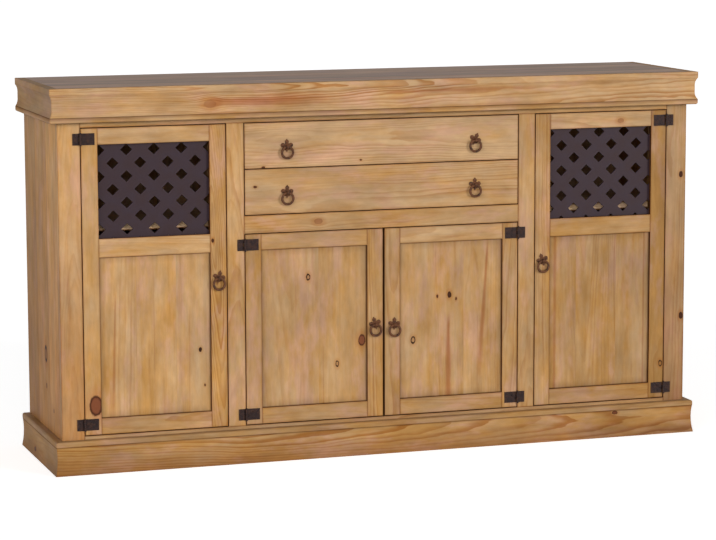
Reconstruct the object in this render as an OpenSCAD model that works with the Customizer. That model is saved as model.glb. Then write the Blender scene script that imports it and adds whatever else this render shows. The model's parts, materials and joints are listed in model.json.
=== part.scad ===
// Rustic pine sideboard. Two tall cupboards with lattice windows stand either side of two drawers
// over a pair of doors. Inset doors hang on iron face hinges and every front has iron ring pulls.
// A coved cornice and a hollow-faced plinth wrap the front and both sides. The origin is on the
// floor under the middle of the piece, the front faces -Y and sizes are in millimetres.

/* [Carcass] */
// Width over the two side panels
carcass_w = 1754; // [1560:1:2100]
// Depth from the front of the face frame to the back
carcass_d = 413; // [340:1:560]
// Height from the floor to the top
total_h = 1000; // [950:1:1150]
// Thickness of a side panel
side_t = 20; // [16:1:26]
// Thickness of the top board
top_t = 20; // [16:1:30]
// Thickness of the back boards
back_t = 10; // [6:1:16]
// Number of upright back boards
back_board_count = 5; // [3:1:9]
// Gap between two back boards
back_board_gap = 0.6; // [0.2:0.1:2]
// Height of the back boards' lower ends above the floor
back_foot = 30; // [0:1:60]
// Thickness of the floor board inside the cupboards
floor_t = 18; // [12:1:24]
// Thickness of the two upright dividers
divider_t = 18; // [14:1:24]
// Thickness of a shelf
shelf_t = 20; // [14:1:26]
// How far the shelves stand back behind the face frame
shelf_setback = 5; // [4:1:60]
// Height of the tall cupboards' shelves above the lattice window's sill
shelf_over_sill = 16; // [5:1:60]
// Width and height of the cleats that carry the shelves
cleat_w = 20; // [12:1:26]
// How far a cleat stops short of its shelf's front edge
cleat_setback = 12; // [0:1:40]

/* [Face frame] */
// Thickness of the face frame
frame_t = 22; // [18:1:28]
// Width of the stiles at both ends
outer_stile_w = 59; // [44:1:80]
// Width of a tall cupboard's opening
tall_opening_w = 387; // [340:1:440]
// Width of the stiles between the openings
mid_stile_w = 47; // [36:1:64]
// Height of the top rail that shows under the cornice
top_rail_show = 13; // [6:1:40]
// Height of the rail between the drawers and the centre doors
centre_rail_h = 47; // [30:1:70]
// Height of the bottom rail that shows above the plinth
bottom_rail_show = 8.6; // [4:0.1:30]
// Full height of the bottom rail
bottom_rail_h = 70; // [40:1:90]

/* [Cornice] */
// How far the cornice and the plinth stand out from the carcass
overhang = 23; // [16:1:34]
// Height of the coved cornice
cornice_h = 75; // [60:1:100]
// Depth of the hollow in the cornice's face
cove_depth = 6.5; // [2:0.5:10]
// Radius of the curves at the hollow's top and bottom
cove_r = 30; // [20:1:45]
// Height of the flat band above the hollow
cove_band_h = 16.5; // [6:0.5:24]
// Height of the strip under the cornice
strip_h = 14; // [10:1:22]
// Radius along the strip's lower edge
strip_round_r = 5; // [2:0.5:8]

/* [Plinth] */
// Height of the plinth boards
plinth_h = 75; // [60:1:95]
// Depth of the shallow hollow in the plinth's face
plinth_hollow = 5.5; // [2:0.5:8]
// Height of the hollow's deepest line above the floor
plinth_hollow_z = 45; // [35:1:50]
// Thickness of the cap on the plinth
cap_h = 14; // [9:1:20]
// How far the cap stands back behind the plinth's foot
cap_setback = 2.5; // [0:0.5:4]
// Radius along the cap's upper edge
cap_round_r = 5; // [2:0.5:7]

/* [Doors] */
// Gap round every door and drawer front, except between the centre doors
door_gap = 2; // [1:0.5:4]
// Gap between the pair of centre doors
pair_gap = 5; // [1:0.5:8]
// How far the doors' backs lie inside the frame's back
door_inset = 2; // [1:0.5:4]
// Width of the door stiles
door_stile_w = 43.5; // [38:0.5:60]
// Height of a door's top and bottom rails
door_rail_h = 42.5; // [38:0.5:60]
// Height of a tall door's middle rail
mid_rail_h = 48.5; // [38:0.5:60]
// Height of the lattice window in a tall door
window_h = 243; // [150:1:300]
// Thickness of a door panel
panel_t = 10; // [6:0.5:11]
// How far a door panel lies behind the door's face
panel_recess = 6; // [3:0.5:7]
// Depth of the grooves that hold the panels
groove_d = 8; // [4:0.5:12]

/* [Lattice] */
// Distance from hole to hole along a row
lattice_pitch_w = 73; // [50:0.5:90]
// Distance between every other row of holes
lattice_pitch_h = 68.5; // [50:0.5:90]
// Width of a slat
slat_w = 28.5; // [20:0.5:34]
// Thickness of the lattice
lattice_t = 6; // [3:0.5:8]
// How far the lattice lies behind the door's face
lattice_recess = 9; // [6:0.5:10]
// Height of a row of holes above the middle of the left window
left_lattice_rise = 37.5; // [0:0.5:68]
// Height of a row of holes above the middle of the right window
right_lattice_rise = 41.5; // [0:0.5:68]
// How far a window's middle hole lies from its middle, towards the sideboard's middle
lattice_shift = 2.5; // [0:0.5:36]

/* [Drawers] */
// Height of a drawer front
drawer_front_h = 119; // [90:1:130]
// Height of the drawer box's underside above the front's lower edge
drawer_lift = 8; // [4:1:16]
// Thickness of the drawer sides and back
drawer_side_t = 12; // [9:1:18]
// Thickness of the drawer's bottom board
drawer_bottom_t = 6; // [4:1:9]
// Depth of the grooves that hold the bottom board
drawer_groove_d = 6; // [3:0.5:8]
// Height of the groove above the lower edge of the drawer sides
drawer_groove_z = 8; // [5:1:16]
// Running clearance between a drawer and its runners, guides and back stop
slide_gap = 0.4; // [0.2:0.1:1]
// Clearance over a drawer box, up to the runner above
drawer_top_clear = 8; // [4:1:16]
// Thickness of a runner
runner_t = 18; // [12:1:22]
// How far a runner reaches in under the drawer side
runner_reach = 18; // [10:1:30]
// Height of the guide strip that stands on a runner
guide_h = 30; // [15:1:50]

/* [Hinges] */
// Height of a hinge
leaf_h = 30; // [26:1:40]
// Reach of the leaf on the frame, from the hinge's axis
frame_leaf_w = 20.5; // [14:0.5:24]
// Reach of the leaf on the door, from the hinge's axis
door_leaf_w = 37; // [26:0.5:41]
// Thickness of a leaf
leaf_t = 1.6; // [1:0.1:2]
// Radius of the knuckles
knuckle_r = 3.5; // [2.5:0.1:4.5]
// Clearance between two knuckles, and behind them
knuckle_gap = 0.4; // [0.2:0.1:0.8]
// Radius of the hinge pins
pin_r = 1.5; // [1:0.1:2]
// Running clearance round a hinge pin
pin_clear = 0.05; // [0.03:0.01:0.1]
// Radius of the turned tip at both ends of a pin
tip_r = 2.4; // [2.2:0.1:3]
// Length of the turned tip
tip_l = 3; // [2:0.1:5]
// Height of the hinges' middles from the doors' ends
hinge_inset = 27.5; // [22:0.5:60]

/* [Ring pulls] */
// Radius of the ring, to the middle of its wire
ring_r = 15; // [12:0.1:18]
// Radius of the ring's wire
wire_r = 3.2; // [1.5:0.1:3.2]
// Clearance of the wire in its eye
eye_clear = 0.4; // [0.3:0.1:0.6]
// Wall round the eye
eye_wall = 2.5; // [1.5:0.1:3]
// Thickness of the eye along its axis
eye_w = 5; // [3:0.5:6]
// Distance of the eye's axis in front of the wood
eye_stand = 7; // [6.5:0.1:9]
// Thickness of the rosette behind the eye
rosette_t = 2.2; // [1.5:0.1:2.5]
// Radius of the rosette's middle
rosette_r = 10; // [7:0.5:11]
// Radius of the rosette's two side lobes
lobe_r = 5.6; // [3:0.1:6]
// Distance of a lobe from the rosette's middle line
lobe_x = 11; // [8:0.5:13]
// Height of the lobes above the eye
lobe_z = 4; // [2:0.5:8]
// Radius of the bud over the rosette
bud_r = 5.2; // [3:0.1:6]
// Height of the bud above the eye
bud_z = 13; // [12:0.5:18]
// Width of the stem under the bud
stem_w = 6; // [2:0.5:8]
// Height of the rosette's upper point above the eye
crown_z = 21; // [20:0.5:28]
// Depth of the rosette's lower point below the eye
foot_z = 15; // [12:0.5:20]
// Distance of the left drawer pulls from the drawers' left ends
left_pull_inset = 115; // [50:1:240]
// Distance of the right drawer pulls from the drawers' right ends
right_pull_inset = 124; // [50:1:240]
// Depth of the drawer pulls' eyes below the front's middle line
drawer_pull_drop = 4.5; // [-10:0.5:20]
// Depth of the left door's pull below its middle rail
left_pull_drop = 68; // [30:0.5:200]
// Depth of the right door's pull below its middle rail
right_pull_drop = 64.5; // [30:0.5:200]
// Depth of the centre left door's pull below the door's middle
centre_left_pull_drop = 3.5; // [-60:0.5:100]
// Depth of the centre right door's pull below the door's middle
centre_right_pull_drop = 7.5; // [-60:0.5:100]
// How far the centre right door's pull stands off its stile's middle line
centre_right_pull_shift = 5; // [-2:0.5:10]

/* [Door catches] */
// Clearance between a catch and a closed door
catch_gap = 0.4; // [0.2:0.1:1]
// Depth of a catch's body
catch_d = 20; // [12:1:26]
// Height of a catch on a divider, and width of one on the centre rail
catch_w = 30; // [20:1:40]
// How far a catch reaches into the opening behind the door
catch_reach = 16; // [10:1:24]
// How far a catch's nose keeps clear of the frame
catch_side_clear = 1; // [0.5:0.5:3]

/* [Hidden] */
$fn = 96;

// Colours
pine = [0.80, 0.62, 0.40];
pine_inside = [0.72, 0.56, 0.37];
iron = [0.16, 0.12, 0.10];
lattice_brown = [0.20, 0.14, 0.14];
catch_brown = [0.35, 0.24, 0.16];

// Planes of the carcass
half_w = carcass_w / 2;
front_y = -(carcass_d + overhang) / 2;
face_y = front_y + overhang;
back_y = -front_y;
frame_back_y = face_y + frame_t;
back_face_y = back_y - back_t;
inside_h = total_h - top_t;
centre_opening_w = carcass_w - 2 * (outer_stile_w + tall_opening_w + mid_stile_w);
divider_x = (centre_opening_w + mid_stile_w) / 2;

// Levels of the face frame
opening_z = plinth_h + cap_h + bottom_rail_show;
opening_top_z = total_h - cornice_h - strip_h - top_rail_show;
drawer_pitch = drawer_front_h + door_gap;
centre_rail_top_z = opening_top_z - 2 * drawer_pitch - door_gap;
centre_top_z = centre_rail_top_z - centre_rail_h;

// Doors
door_t = frame_t - door_inset;
door_z = opening_z + door_gap;
tall_door_w = tall_opening_w - 2 * door_gap;
tall_door_h = opening_top_z - opening_z - 2 * door_gap;
centre_door_w = (centre_opening_w - 2 * door_gap - pair_gap) / 2;
centre_door_h = centre_top_z - opening_z - 2 * door_gap;
left_door_x = -half_w + outer_stile_w + door_gap;
right_door_x = half_w - outer_stile_w - door_gap - tall_door_w;
centre_left_door_x = -centre_opening_w / 2 + door_gap;
centre_right_door_x = pair_gap / 2;
sill_z = door_z + tall_door_h - door_rail_h - window_h;
mid_rail_z = sill_z - mid_rail_h;

// Shelves
tall_shelf_z = sill_z + shelf_over_sill;
centre_shelf_z = (opening_z + centre_top_z - shelf_t) / 2;
shelf_y = frame_back_y + shelf_setback;

// Drawers
upper_front_z = opening_top_z - drawer_pitch;
lower_front_z = upper_front_z - drawer_pitch;
drawer_w = centre_opening_w - 2 * door_gap;
drawer_back_y = face_y + door_t;
drawer_end_y = back_face_y - slide_gap;
drawer_box_h = drawer_pitch - runner_t - slide_gap - drawer_top_clear;
runner_x = centre_opening_w / 2 + (mid_stile_w - divider_t) / 2;
guide_w = runner_x - drawer_w / 2 - slide_gap;
runner_w = guide_w + slide_gap + runner_reach;

// Hinges
axis_stand = knuckle_r + knuckle_gap;
axis_y = face_y - axis_stand;
notch_x = knuckle_r + knuckle_gap;
knuckle_l = (leaf_h - 2 * knuckle_gap) / 3;
left_axis_x = left_door_x - door_gap / 2;
centre_axis_x = -centre_left_door_x + door_gap / 2;

// Ring pulls
eye_r = wire_r + eye_clear;
eye_y = face_y - eye_stand;
tall_pull_x = left_door_x + tall_door_w - door_stile_w / 2;
centre_pull_x = centre_right_door_x + door_stile_w / 2;
centre_mid_z = door_z + centre_door_h / 2;
drawer_pull_left_x = left_pull_inset - drawer_w / 2;
drawer_pull_right_x = drawer_w / 2 - right_pull_inset;

// Turn of each rosette on its nail, clockwise as seen from the front
left_door_tilt = 14;
right_door_tilt = -17;
centre_left_door_tilt = -14;
centre_right_door_tilt = 3;
upper_left_tilt = 0;
upper_right_tilt = 24;
lower_left_tilt = 2;
lower_right_tilt = 0;

// Draws a child in width and height, its front at y and its thickness going back
module front_sheet(y, thickness) {
    translate([0, y + thickness, 0])
        rotate([90, 0, 0])
            linear_extrude(thickness) children();
}

// Repeats a right-hand child on the left
module both_sides() {
    for (side = [0, 1])
        mirror([side, 0, 0]) children();
}

// Runs a moulding along the front, mitred at both corners. The profile has x outwards
module front_moulding() {
    corner = half_w + overhang;
    intersection() {
        translate([-corner, face_y, 0])
            rotate([90, 0, 90])
                linear_extrude(2 * corner) mirror([1, 0]) children();
        linear_extrude(total_h)
            polygon([[-corner, front_y], [corner, front_y], [half_w, face_y], [-half_w, face_y]]);
    }
}

// Runs a moulding back along both sides from its mitre
module side_mouldings() {
    corner = half_w + overhang;
    both_sides()
        intersection() {
            translate([half_w, back_y, 0])
                rotate([90, 0, 0])
                    linear_extrude(back_y - front_y) children();
            linear_extrude(total_h)
                polygon([[half_w, face_y], [corner, front_y], [corner, back_y], [half_w, back_y]]);
        }
}

// Section of the cornice: a flat band, a hollow and a lip
module cornice_profile() {
    lip_z = total_h - cornice_h;
    rise = sqrt(cove_r * cove_r - (cove_r - cove_depth) * (cove_r - cove_depth));
    low_z = lip_z + rise;
    high_z = total_h - cove_band_h - rise;
    floor_x = overhang - cove_depth;
    difference() {
        translate([0, lip_z]) square([overhang, cornice_h]);
        translate([floor_x + cove_r, low_z]) circle(cove_r);
        translate([floor_x + cove_r, high_z]) circle(cove_r);
        translate([floor_x, low_z]) square([cove_r, high_z - low_z]);
    }
}

// Section of the strip under the cornice, its lower edge rounded
module strip_profile() {
    strip_z = total_h - cornice_h - strip_h;
    difference() {
        translate([0, strip_z]) square([overhang, strip_h]);
        translate([overhang - strip_round_r, strip_z])
            difference() {
                square(strip_round_r);
                translate([0, strip_round_r]) circle(strip_round_r);
            }
    }
}

// Section of the plinth, hollowed by one wide arc
module plinth_profile() {
    hollow_r = (plinth_hollow_z * plinth_hollow_z + plinth_hollow * plinth_hollow)
        / (2 * plinth_hollow);
    difference() {
        square([overhang, plinth_h]);
        translate([overhang - plinth_hollow + hollow_r, plinth_hollow_z]) circle(hollow_r);
    }
}

// Section of the cap on the plinth, its upper edge rounded
module cap_profile() {
    reach = overhang - cap_setback;
    difference() {
        translate([0, plinth_h]) square([reach, cap_h]);
        translate([reach - cap_round_r, plinth_h + cap_h - cap_round_r])
            difference() {
                square(cap_round_r);
                circle(cap_round_r);
            }
    }
}

module top_board() {
    color(pine)
        translate([-half_w, face_y, inside_h]) cube([carcass_w, carcass_d, top_t]);
}

module cornice_front() {
    color(pine) front_moulding() cornice_profile();
}

module cornice_returns() {
    color(pine) side_mouldings() cornice_profile();
}

module cornice_strips() {
    color(pine) {
        front_moulding() strip_profile();
        side_mouldings() strip_profile();
    }
}

module plinth_front() {
    color(pine) front_moulding() plinth_profile();
}

module plinth_returns() {
    color(pine) side_mouldings() plinth_profile();
}

module plinth_caps() {
    color(pine) {
        front_moulding() cap_profile();
        side_mouldings() cap_profile();
    }
}

module side_panels() {
    color(pine)
        both_sides()
            translate([half_w - side_t, frame_back_y, 0])
                cube([side_t, back_y - frame_back_y, inside_h]);
}

module outer_stiles() {
    color(pine)
        both_sides()
            translate([half_w - outer_stile_w, face_y, 0]) cube([outer_stile_w, frame_t, inside_h]);
}

module mid_stiles() {
    color(pine)
        both_sides()
            translate([centre_opening_w / 2, face_y, opening_z])
                cube([mid_stile_w, frame_t, opening_top_z - opening_z]);
}

// A rail of the face frame, centred on the middle of the front
module frame_rail(length, z, height) {
    color(pine) translate([-length / 2, face_y, z]) cube([length, frame_t, height]);
}

module top_rail() {
    frame_rail(carcass_w - 2 * outer_stile_w, opening_top_z, inside_h - opening_top_z);
}

module centre_rail() {
    frame_rail(centre_opening_w, centre_top_z, centre_rail_h);
}

module bottom_rail() {
    frame_rail(carcass_w - 2 * outer_stile_w, opening_z - bottom_rail_h, bottom_rail_h);
}

module floor_board() {
    width = carcass_w - 2 * side_t;
    color(pine_inside)
        translate([-width / 2, frame_back_y, opening_z - floor_t])
            cube([width, back_face_y - frame_back_y, floor_t]);
}

module back_boards() {
    width = carcass_w - 2 * side_t;
    pitch = (width + back_board_gap) / back_board_count;
    color(pine_inside)
        for (i = [0 : back_board_count - 1])
            translate([-width / 2 + i * pitch, back_face_y, back_foot])
                cube([pitch - back_board_gap, back_t, inside_h - back_foot]);
}

module dividers() {
    color(pine_inside)
        both_sides()
            translate([divider_x - divider_t / 2, frame_back_y, opening_z])
                cube([divider_t, back_face_y - frame_back_y, inside_h - opening_z]);
}

module shelves() {
    depth = back_face_y - shelf_y;
    tall_x = divider_x + divider_t / 2;
    color(pine_inside) {
        both_sides()
            translate([tall_x, shelf_y, tall_shelf_z])
                cube([half_w - side_t - tall_x, depth, shelf_t]);
        translate([-runner_x, shelf_y, centre_shelf_z]) cube([2 * runner_x, depth, shelf_t]);
    }
}

module shelf_cleats() {
    cleat_y = shelf_y + cleat_setback;
    size = [cleat_w, back_face_y - cleat_y, cleat_w];
    color(pine_inside)
        both_sides() {
            for (x = [divider_x + divider_t / 2, half_w - side_t - cleat_w])
                translate([x, cleat_y, tall_shelf_z - cleat_w]) cube(size);
            translate([runner_x - cleat_w, cleat_y, centre_shelf_z - cleat_w]) cube(size);
        }
}

module drawer_runners() {
    depth = back_face_y - frame_back_y;
    color(pine_inside)
        both_sides()
            for (front_z = [upper_front_z, lower_front_z]) {
                top_z = front_z + drawer_lift - slide_gap;
                translate([runner_x - runner_w, frame_back_y, top_z - runner_t])
                    cube([runner_w, depth, runner_t]);
                translate([runner_x - guide_w, frame_back_y, top_z]) cube([guide_w, depth, guide_h]);
            }
}

module door_catches() {
    nose_y = face_y + door_t + catch_gap;
    body_y = frame_back_y + catch_d;
    nose_l = catch_reach - catch_side_clear;
    tall_reach = (mid_stile_w - divider_t) / 2 + catch_reach;
    color(catch_brown)
        both_sides() {
            translate([divider_x + divider_t / 2, frame_back_y, mid_rail_z])
                cube([tall_reach, catch_d, catch_w]);
            translate([divider_x + mid_stile_w / 2 + catch_side_clear, nose_y, mid_rail_z])
                cube([nose_l, body_y - nose_y, catch_w]);
            translate([centre_pull_x - catch_w / 2, 0, centre_top_z]) {
                translate([0, frame_back_y, -catch_reach])
                    cube([catch_w, catch_d, 2 * catch_reach]);
                translate([0, nose_y, -catch_reach]) cube([catch_w, body_y - nose_y, nose_l]);
            }
        }
}

// Puts a child on a hinge axis. Its frame leaf lies towards -X unless it is mirrored
module on_axis(x, z, mirrored) {
    translate([x, axis_y, z]) mirror([mirrored, 0, 0]) children();
}

// Puts a child on all eight hinge axes
module on_all_axes() {
    low_z = door_z + hinge_inset;
    for (z = [low_z, door_z + tall_door_h - hinge_inset]) {
        on_axis(left_axis_x, z, 0) children();
        on_axis(-left_axis_x, z, 1) children();
    }
    for (z = [low_z, door_z + centre_door_h - hinge_inset]) {
        on_axis(-centre_axis_x, z, 0) children();
        on_axis(centre_axis_x, z, 1) children();
    }
}

// One leaf, reaching out along +X, with knuckles at the heights in middles
module hinge_leaf(reach, middles) {
    difference() {
        union() {
            translate([notch_x, axis_stand - leaf_t, -leaf_h / 2])
                cube([reach - notch_x, leaf_t, leaf_h]);
            for (z = middles)
                translate([0, 0, z]) {
                    cylinder(r = knuckle_r, h = knuckle_l, center = true);
                    translate([0, axis_stand - leaf_t, -knuckle_l / 2])
                        cube([notch_x, leaf_t, knuckle_l]);
                }
        }
        cylinder(r = pin_r + pin_clear, h = 2 * leaf_h, center = true);
    }
}

module hinge_frame_leaves() {
    middle = knuckle_l + knuckle_gap;
    color(iron)
        on_all_axes() mirror([1, 0, 0]) hinge_leaf(frame_leaf_w, [-middle, middle]);
}

module hinge_pins() {
    half_l = leaf_h / 2 + knuckle_gap / 2;
    color(iron)
        on_all_axes()
            rotate_extrude()
                polygon([
                    [0, -half_l - tip_l], [tip_r, -half_l - tip_l / 3], [tip_r, -half_l],
                    [pin_r, -half_l], [pin_r, half_l],
                    [tip_r, half_l], [tip_r, half_l + tip_l / 3], [0, half_l + tip_l]
                ]);
}

// A door's two leaves
module door_leaves(x, height, mirrored) {
    color(iron)
        for (z = [door_z + hinge_inset, door_z + height - hinge_inset])
            on_axis(x, z, mirrored) hinge_leaf(door_leaf_w, [0]);
}

// The board that fills a door's frame and stands in its grooves
module panel_board(x, width, low_z, high_z) {
    inner_x = x + door_stile_w - groove_d;
    translate([inner_x, face_y + panel_recess, low_z - groove_d])
        cube([width - 2 * (door_stile_w - groove_d), panel_t, high_z - low_z + 2 * groove_d]);
}

// The block that a lattice and its grooves fill
module lattice_block(x, width) {
    inner_x = x + door_stile_w - groove_d;
    translate([inner_x, face_y + lattice_recess, sill_z - groove_d])
        cube([width - 2 * (door_stile_w - groove_d), lattice_t, window_h + 2 * groove_d]);
}

// Grooves of a tall door
module tall_grooves(x) {
    panel_board(x, tall_door_w, door_z + door_rail_h, mid_rail_z);
    lattice_block(x, tall_door_w);
}

// Groove of a centre door
module centre_groove(x) {
    panel_board(x, centre_door_w, door_z + door_rail_h, door_z + centre_door_h - door_rail_h);
}

// Two door stiles, without their grooves
module stile_pair(x, width, height) {
    for (stile_x = [x, x + width - door_stile_w])
        translate([stile_x, face_y, door_z]) cube([door_stile_w, door_t, height]);
}

// A door rail between the stiles, without its grooves
module door_rail(x, width, z, height) {
    translate([x + door_stile_w, face_y, z]) cube([width - 2 * door_stile_w, door_t, height]);
}

module tall_stiles(x) {
    color(pine)
        difference() {
            stile_pair(x, tall_door_w, tall_door_h);
            tall_grooves(x);
        }
}

module tall_rails(x) {
    color(pine)
        difference() {
            union() {
                door_rail(x, tall_door_w, door_z, door_rail_h);
                door_rail(x, tall_door_w, mid_rail_z, mid_rail_h);
                door_rail(x, tall_door_w, door_z + tall_door_h - door_rail_h, door_rail_h);
            }
            tall_grooves(x);
        }
}

module tall_panel(x) {
    color(pine) panel_board(x, tall_door_w, door_z + door_rail_h, mid_rail_z);
}

// Slats that lean by the angle given, on the pitch of the lattice
module leaning_slats(width, height, shift, rise, angle) {
    count = ceil((width / lattice_pitch_w + height / lattice_pitch_h) / 2) + 1;
    for (i = [-count : count])
        translate([(i + 0.5) * lattice_pitch_w + shift, rise])
            rotate(angle) square([2 * (width + height), slat_w], center = true);
}

// Slats halved into each other where they cross, flush on both faces. A rim as wide as the door's
// grooves are deep ties their ends. Shift and rise move a hole right and up from the window's middle
module lattice(x, shift, rise) {
    lean = atan2(lattice_pitch_h, lattice_pitch_w);
    width = tall_door_w - 2 * (door_stile_w - groove_d);
    height = window_h + 2 * groove_d;
    color(lattice_brown)
        translate([x + tall_door_w / 2, 0, sill_z + window_h / 2])
            front_sheet(face_y + lattice_recess, lattice_t)
                intersection() {
                    square([width, height], center = true);
                    union() {
                        leaning_slats(width, height, shift, rise, lean);
                        leaning_slats(width, height, shift, rise, -lean);
                        difference() {
                            square([width, height], center = true);
                            square([width - 2 * groove_d, window_h], center = true);
                        }
                    }
                }
}

module centre_stiles(x) {
    color(pine)
        difference() {
            stile_pair(x, centre_door_w, centre_door_h);
            centre_groove(x);
        }
}

module centre_rails(x) {
    color(pine)
        difference() {
            union() {
                door_rail(x, centre_door_w, door_z, door_rail_h);
                door_rail(x, centre_door_w, door_z + centre_door_h - door_rail_h, door_rail_h);
            }
            centre_groove(x);
        }
}

module centre_panel(x) {
    color(pine) centre_groove(x);
}

// Outline of the rosette: a middle, two lobes, a bud on its stem and two points
module rosette() {
    circle(rosette_r);
    for (side = [-1, 1])
        translate([side * lobe_x, lobe_z]) circle(lobe_r);
    translate([0, bud_z]) circle(bud_r);
    translate([-stem_w / 2, 0]) square([stem_w, bud_z]);
    polygon([[-bud_r, bud_z], [bud_r, bud_z], [0, crown_z]]);
    polygon([[-rosette_r / 2, -rosette_r / 2], [0, -foot_z], [rosette_r / 2, -rosette_r / 2]]);
}

// A rosette with the eye that carries the ring, the eye's axis along X through [x, eye_y, z]
module pull_plate(x, z, tilt) {
    neck_h = 2 * (eye_r + eye_wall / 2);
    color(iron)
        translate([x, face_y, z])
            difference() {
                union() {
                    front_sheet(-rosette_t, rosette_t) rotate(-tilt) rosette();
                    translate([-eye_w / 2, -eye_stand, 0])
                        rotate([0, 90, 0]) cylinder(r = eye_r + eye_wall, h = eye_w);
                    translate([-eye_w / 2, -eye_stand, -neck_h / 2])
                        cube([eye_w, eye_stand - rosette_t / 2, neck_h]);
                }
                translate([-eye_w, -eye_stand, 0])
                    rotate([0, 90, 0]) cylinder(r = eye_r, h = 2 * eye_w);
            }
}

// A ring that hangs through the eye at [x, eye_y, z]
module pull_ring(x, z) {
    color(iron)
        translate([x, eye_y, z - ring_r])
            rotate([90, 0, 0])
                rotate_extrude() translate([ring_r, 0]) circle(wire_r);
}

module drawer_front(z) {
    color(pine)
        difference() {
            translate([-drawer_w / 2, face_y, z]) cube([drawer_w, door_t, drawer_front_h]);
            bottom_board(z);
        }
}

// The bottom board, let into the front and both sides and running under the back
module bottom_board(z) {
    width = drawer_w - 2 * (drawer_side_t - drawer_groove_d);
    board_y = drawer_back_y - drawer_groove_d;
    translate([-width / 2, board_y, z + drawer_lift + drawer_groove_z])
        cube([width, drawer_end_y - board_y, drawer_bottom_t]);
}

module drawer_bottom(z) {
    color(pine_inside) bottom_board(z);
}

module drawer_box(z) {
    box_z = z + drawer_lift;
    board_top = drawer_groove_z + drawer_bottom_t;
    color(pine_inside) {
        difference() {
            both_sides()
                translate([drawer_w / 2 - drawer_side_t, drawer_back_y, box_z])
                    cube([drawer_side_t, drawer_end_y - drawer_back_y, drawer_box_h]);
            bottom_board(z);
        }
        translate([-drawer_w / 2 + drawer_side_t, drawer_end_y - drawer_side_t, box_z + board_top])
            cube([drawer_w - 2 * drawer_side_t, drawer_side_t, drawer_box_h - board_top]);
    }
}

// Height of a drawer's two eyes
function drawer_pull_z(front_z) = front_z + drawer_front_h / 2 - drawer_pull_drop;

module drawer_pull_plates(front_z, left_tilt, right_tilt) {
    pull_plate(drawer_pull_left_x, drawer_pull_z(front_z), left_tilt);
    pull_plate(drawer_pull_right_x, drawer_pull_z(front_z), right_tilt);
}

// Places of the door pulls
left_pull = [tall_pull_x, mid_rail_z - left_pull_drop];
right_pull = [-tall_pull_x, mid_rail_z - right_pull_drop];
centre_left_pull = [-centre_pull_x, centre_mid_z - centre_left_pull_drop];
centre_right_pull = [centre_pull_x + centre_right_pull_shift, centre_mid_z - centre_right_pull_drop];

module left_door_stiles() { tall_stiles(left_door_x); }
module left_door_rails() { tall_rails(left_door_x); }
module left_door_panel() { tall_panel(left_door_x); }
module left_door_lattice() { lattice(left_door_x, lattice_shift, left_lattice_rise); }
module left_door_hinge_leaves() { door_leaves(left_axis_x, tall_door_h, 0); }
module left_door_pull_plate() { pull_plate(left_pull.x, left_pull.y, left_door_tilt); }
module left_door_ring() { pull_ring(left_pull.x, left_pull.y); }

module right_door_stiles() { tall_stiles(right_door_x); }
module right_door_rails() { tall_rails(right_door_x); }
module right_door_panel() { tall_panel(right_door_x); }
module right_door_lattice() { lattice(right_door_x, -lattice_shift, right_lattice_rise); }
module right_door_hinge_leaves() { door_leaves(-left_axis_x, tall_door_h, 1); }
module right_door_pull_plate() { pull_plate(right_pull.x, right_pull.y, right_door_tilt); }
module right_door_ring() { pull_ring(right_pull.x, right_pull.y); }

module centre_left_door_stiles() { centre_stiles(centre_left_door_x); }
module centre_left_door_rails() { centre_rails(centre_left_door_x); }
module centre_left_door_panel() { centre_panel(centre_left_door_x); }
module centre_left_door_hinge_leaves() { door_leaves(-centre_axis_x, centre_door_h, 0); }
module centre_left_door_pull_plate() {
    pull_plate(centre_left_pull.x, centre_left_pull.y, centre_left_door_tilt);
}
module centre_left_door_ring() { pull_ring(centre_left_pull.x, centre_left_pull.y); }

module centre_right_door_stiles() { centre_stiles(centre_right_door_x); }
module centre_right_door_rails() { centre_rails(centre_right_door_x); }
module centre_right_door_panel() { centre_panel(centre_right_door_x); }
module centre_right_door_hinge_leaves() { door_leaves(centre_axis_x, centre_door_h, 1); }
module centre_right_door_pull_plate() {
    pull_plate(centre_right_pull.x, centre_right_pull.y, centre_right_door_tilt);
}
module centre_right_door_ring() { pull_ring(centre_right_pull.x, centre_right_pull.y); }

module upper_drawer_front() { drawer_front(upper_front_z); }
module upper_drawer_box() { drawer_box(upper_front_z); }
module upper_drawer_bottom() { drawer_bottom(upper_front_z); }
module upper_drawer_pull_plates() {
    drawer_pull_plates(upper_front_z, upper_left_tilt, upper_right_tilt);
}
module upper_drawer_left_ring() { pull_ring(drawer_pull_left_x, drawer_pull_z(upper_front_z)); }
module upper_drawer_right_ring() { pull_ring(drawer_pull_right_x, drawer_pull_z(upper_front_z)); }

module lower_drawer_front() { drawer_front(lower_front_z); }
module lower_drawer_box() { drawer_box(lower_front_z); }
module lower_drawer_bottom() { drawer_bottom(lower_front_z); }
module lower_drawer_pull_plates() {
    drawer_pull_plates(lower_front_z, lower_left_tilt, lower_right_tilt);
}
module lower_drawer_left_ring() { pull_ring(drawer_pull_left_x, drawer_pull_z(lower_front_z)); }
module lower_drawer_right_ring() { pull_ring(drawer_pull_right_x, drawer_pull_z(lower_front_z)); }

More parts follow.
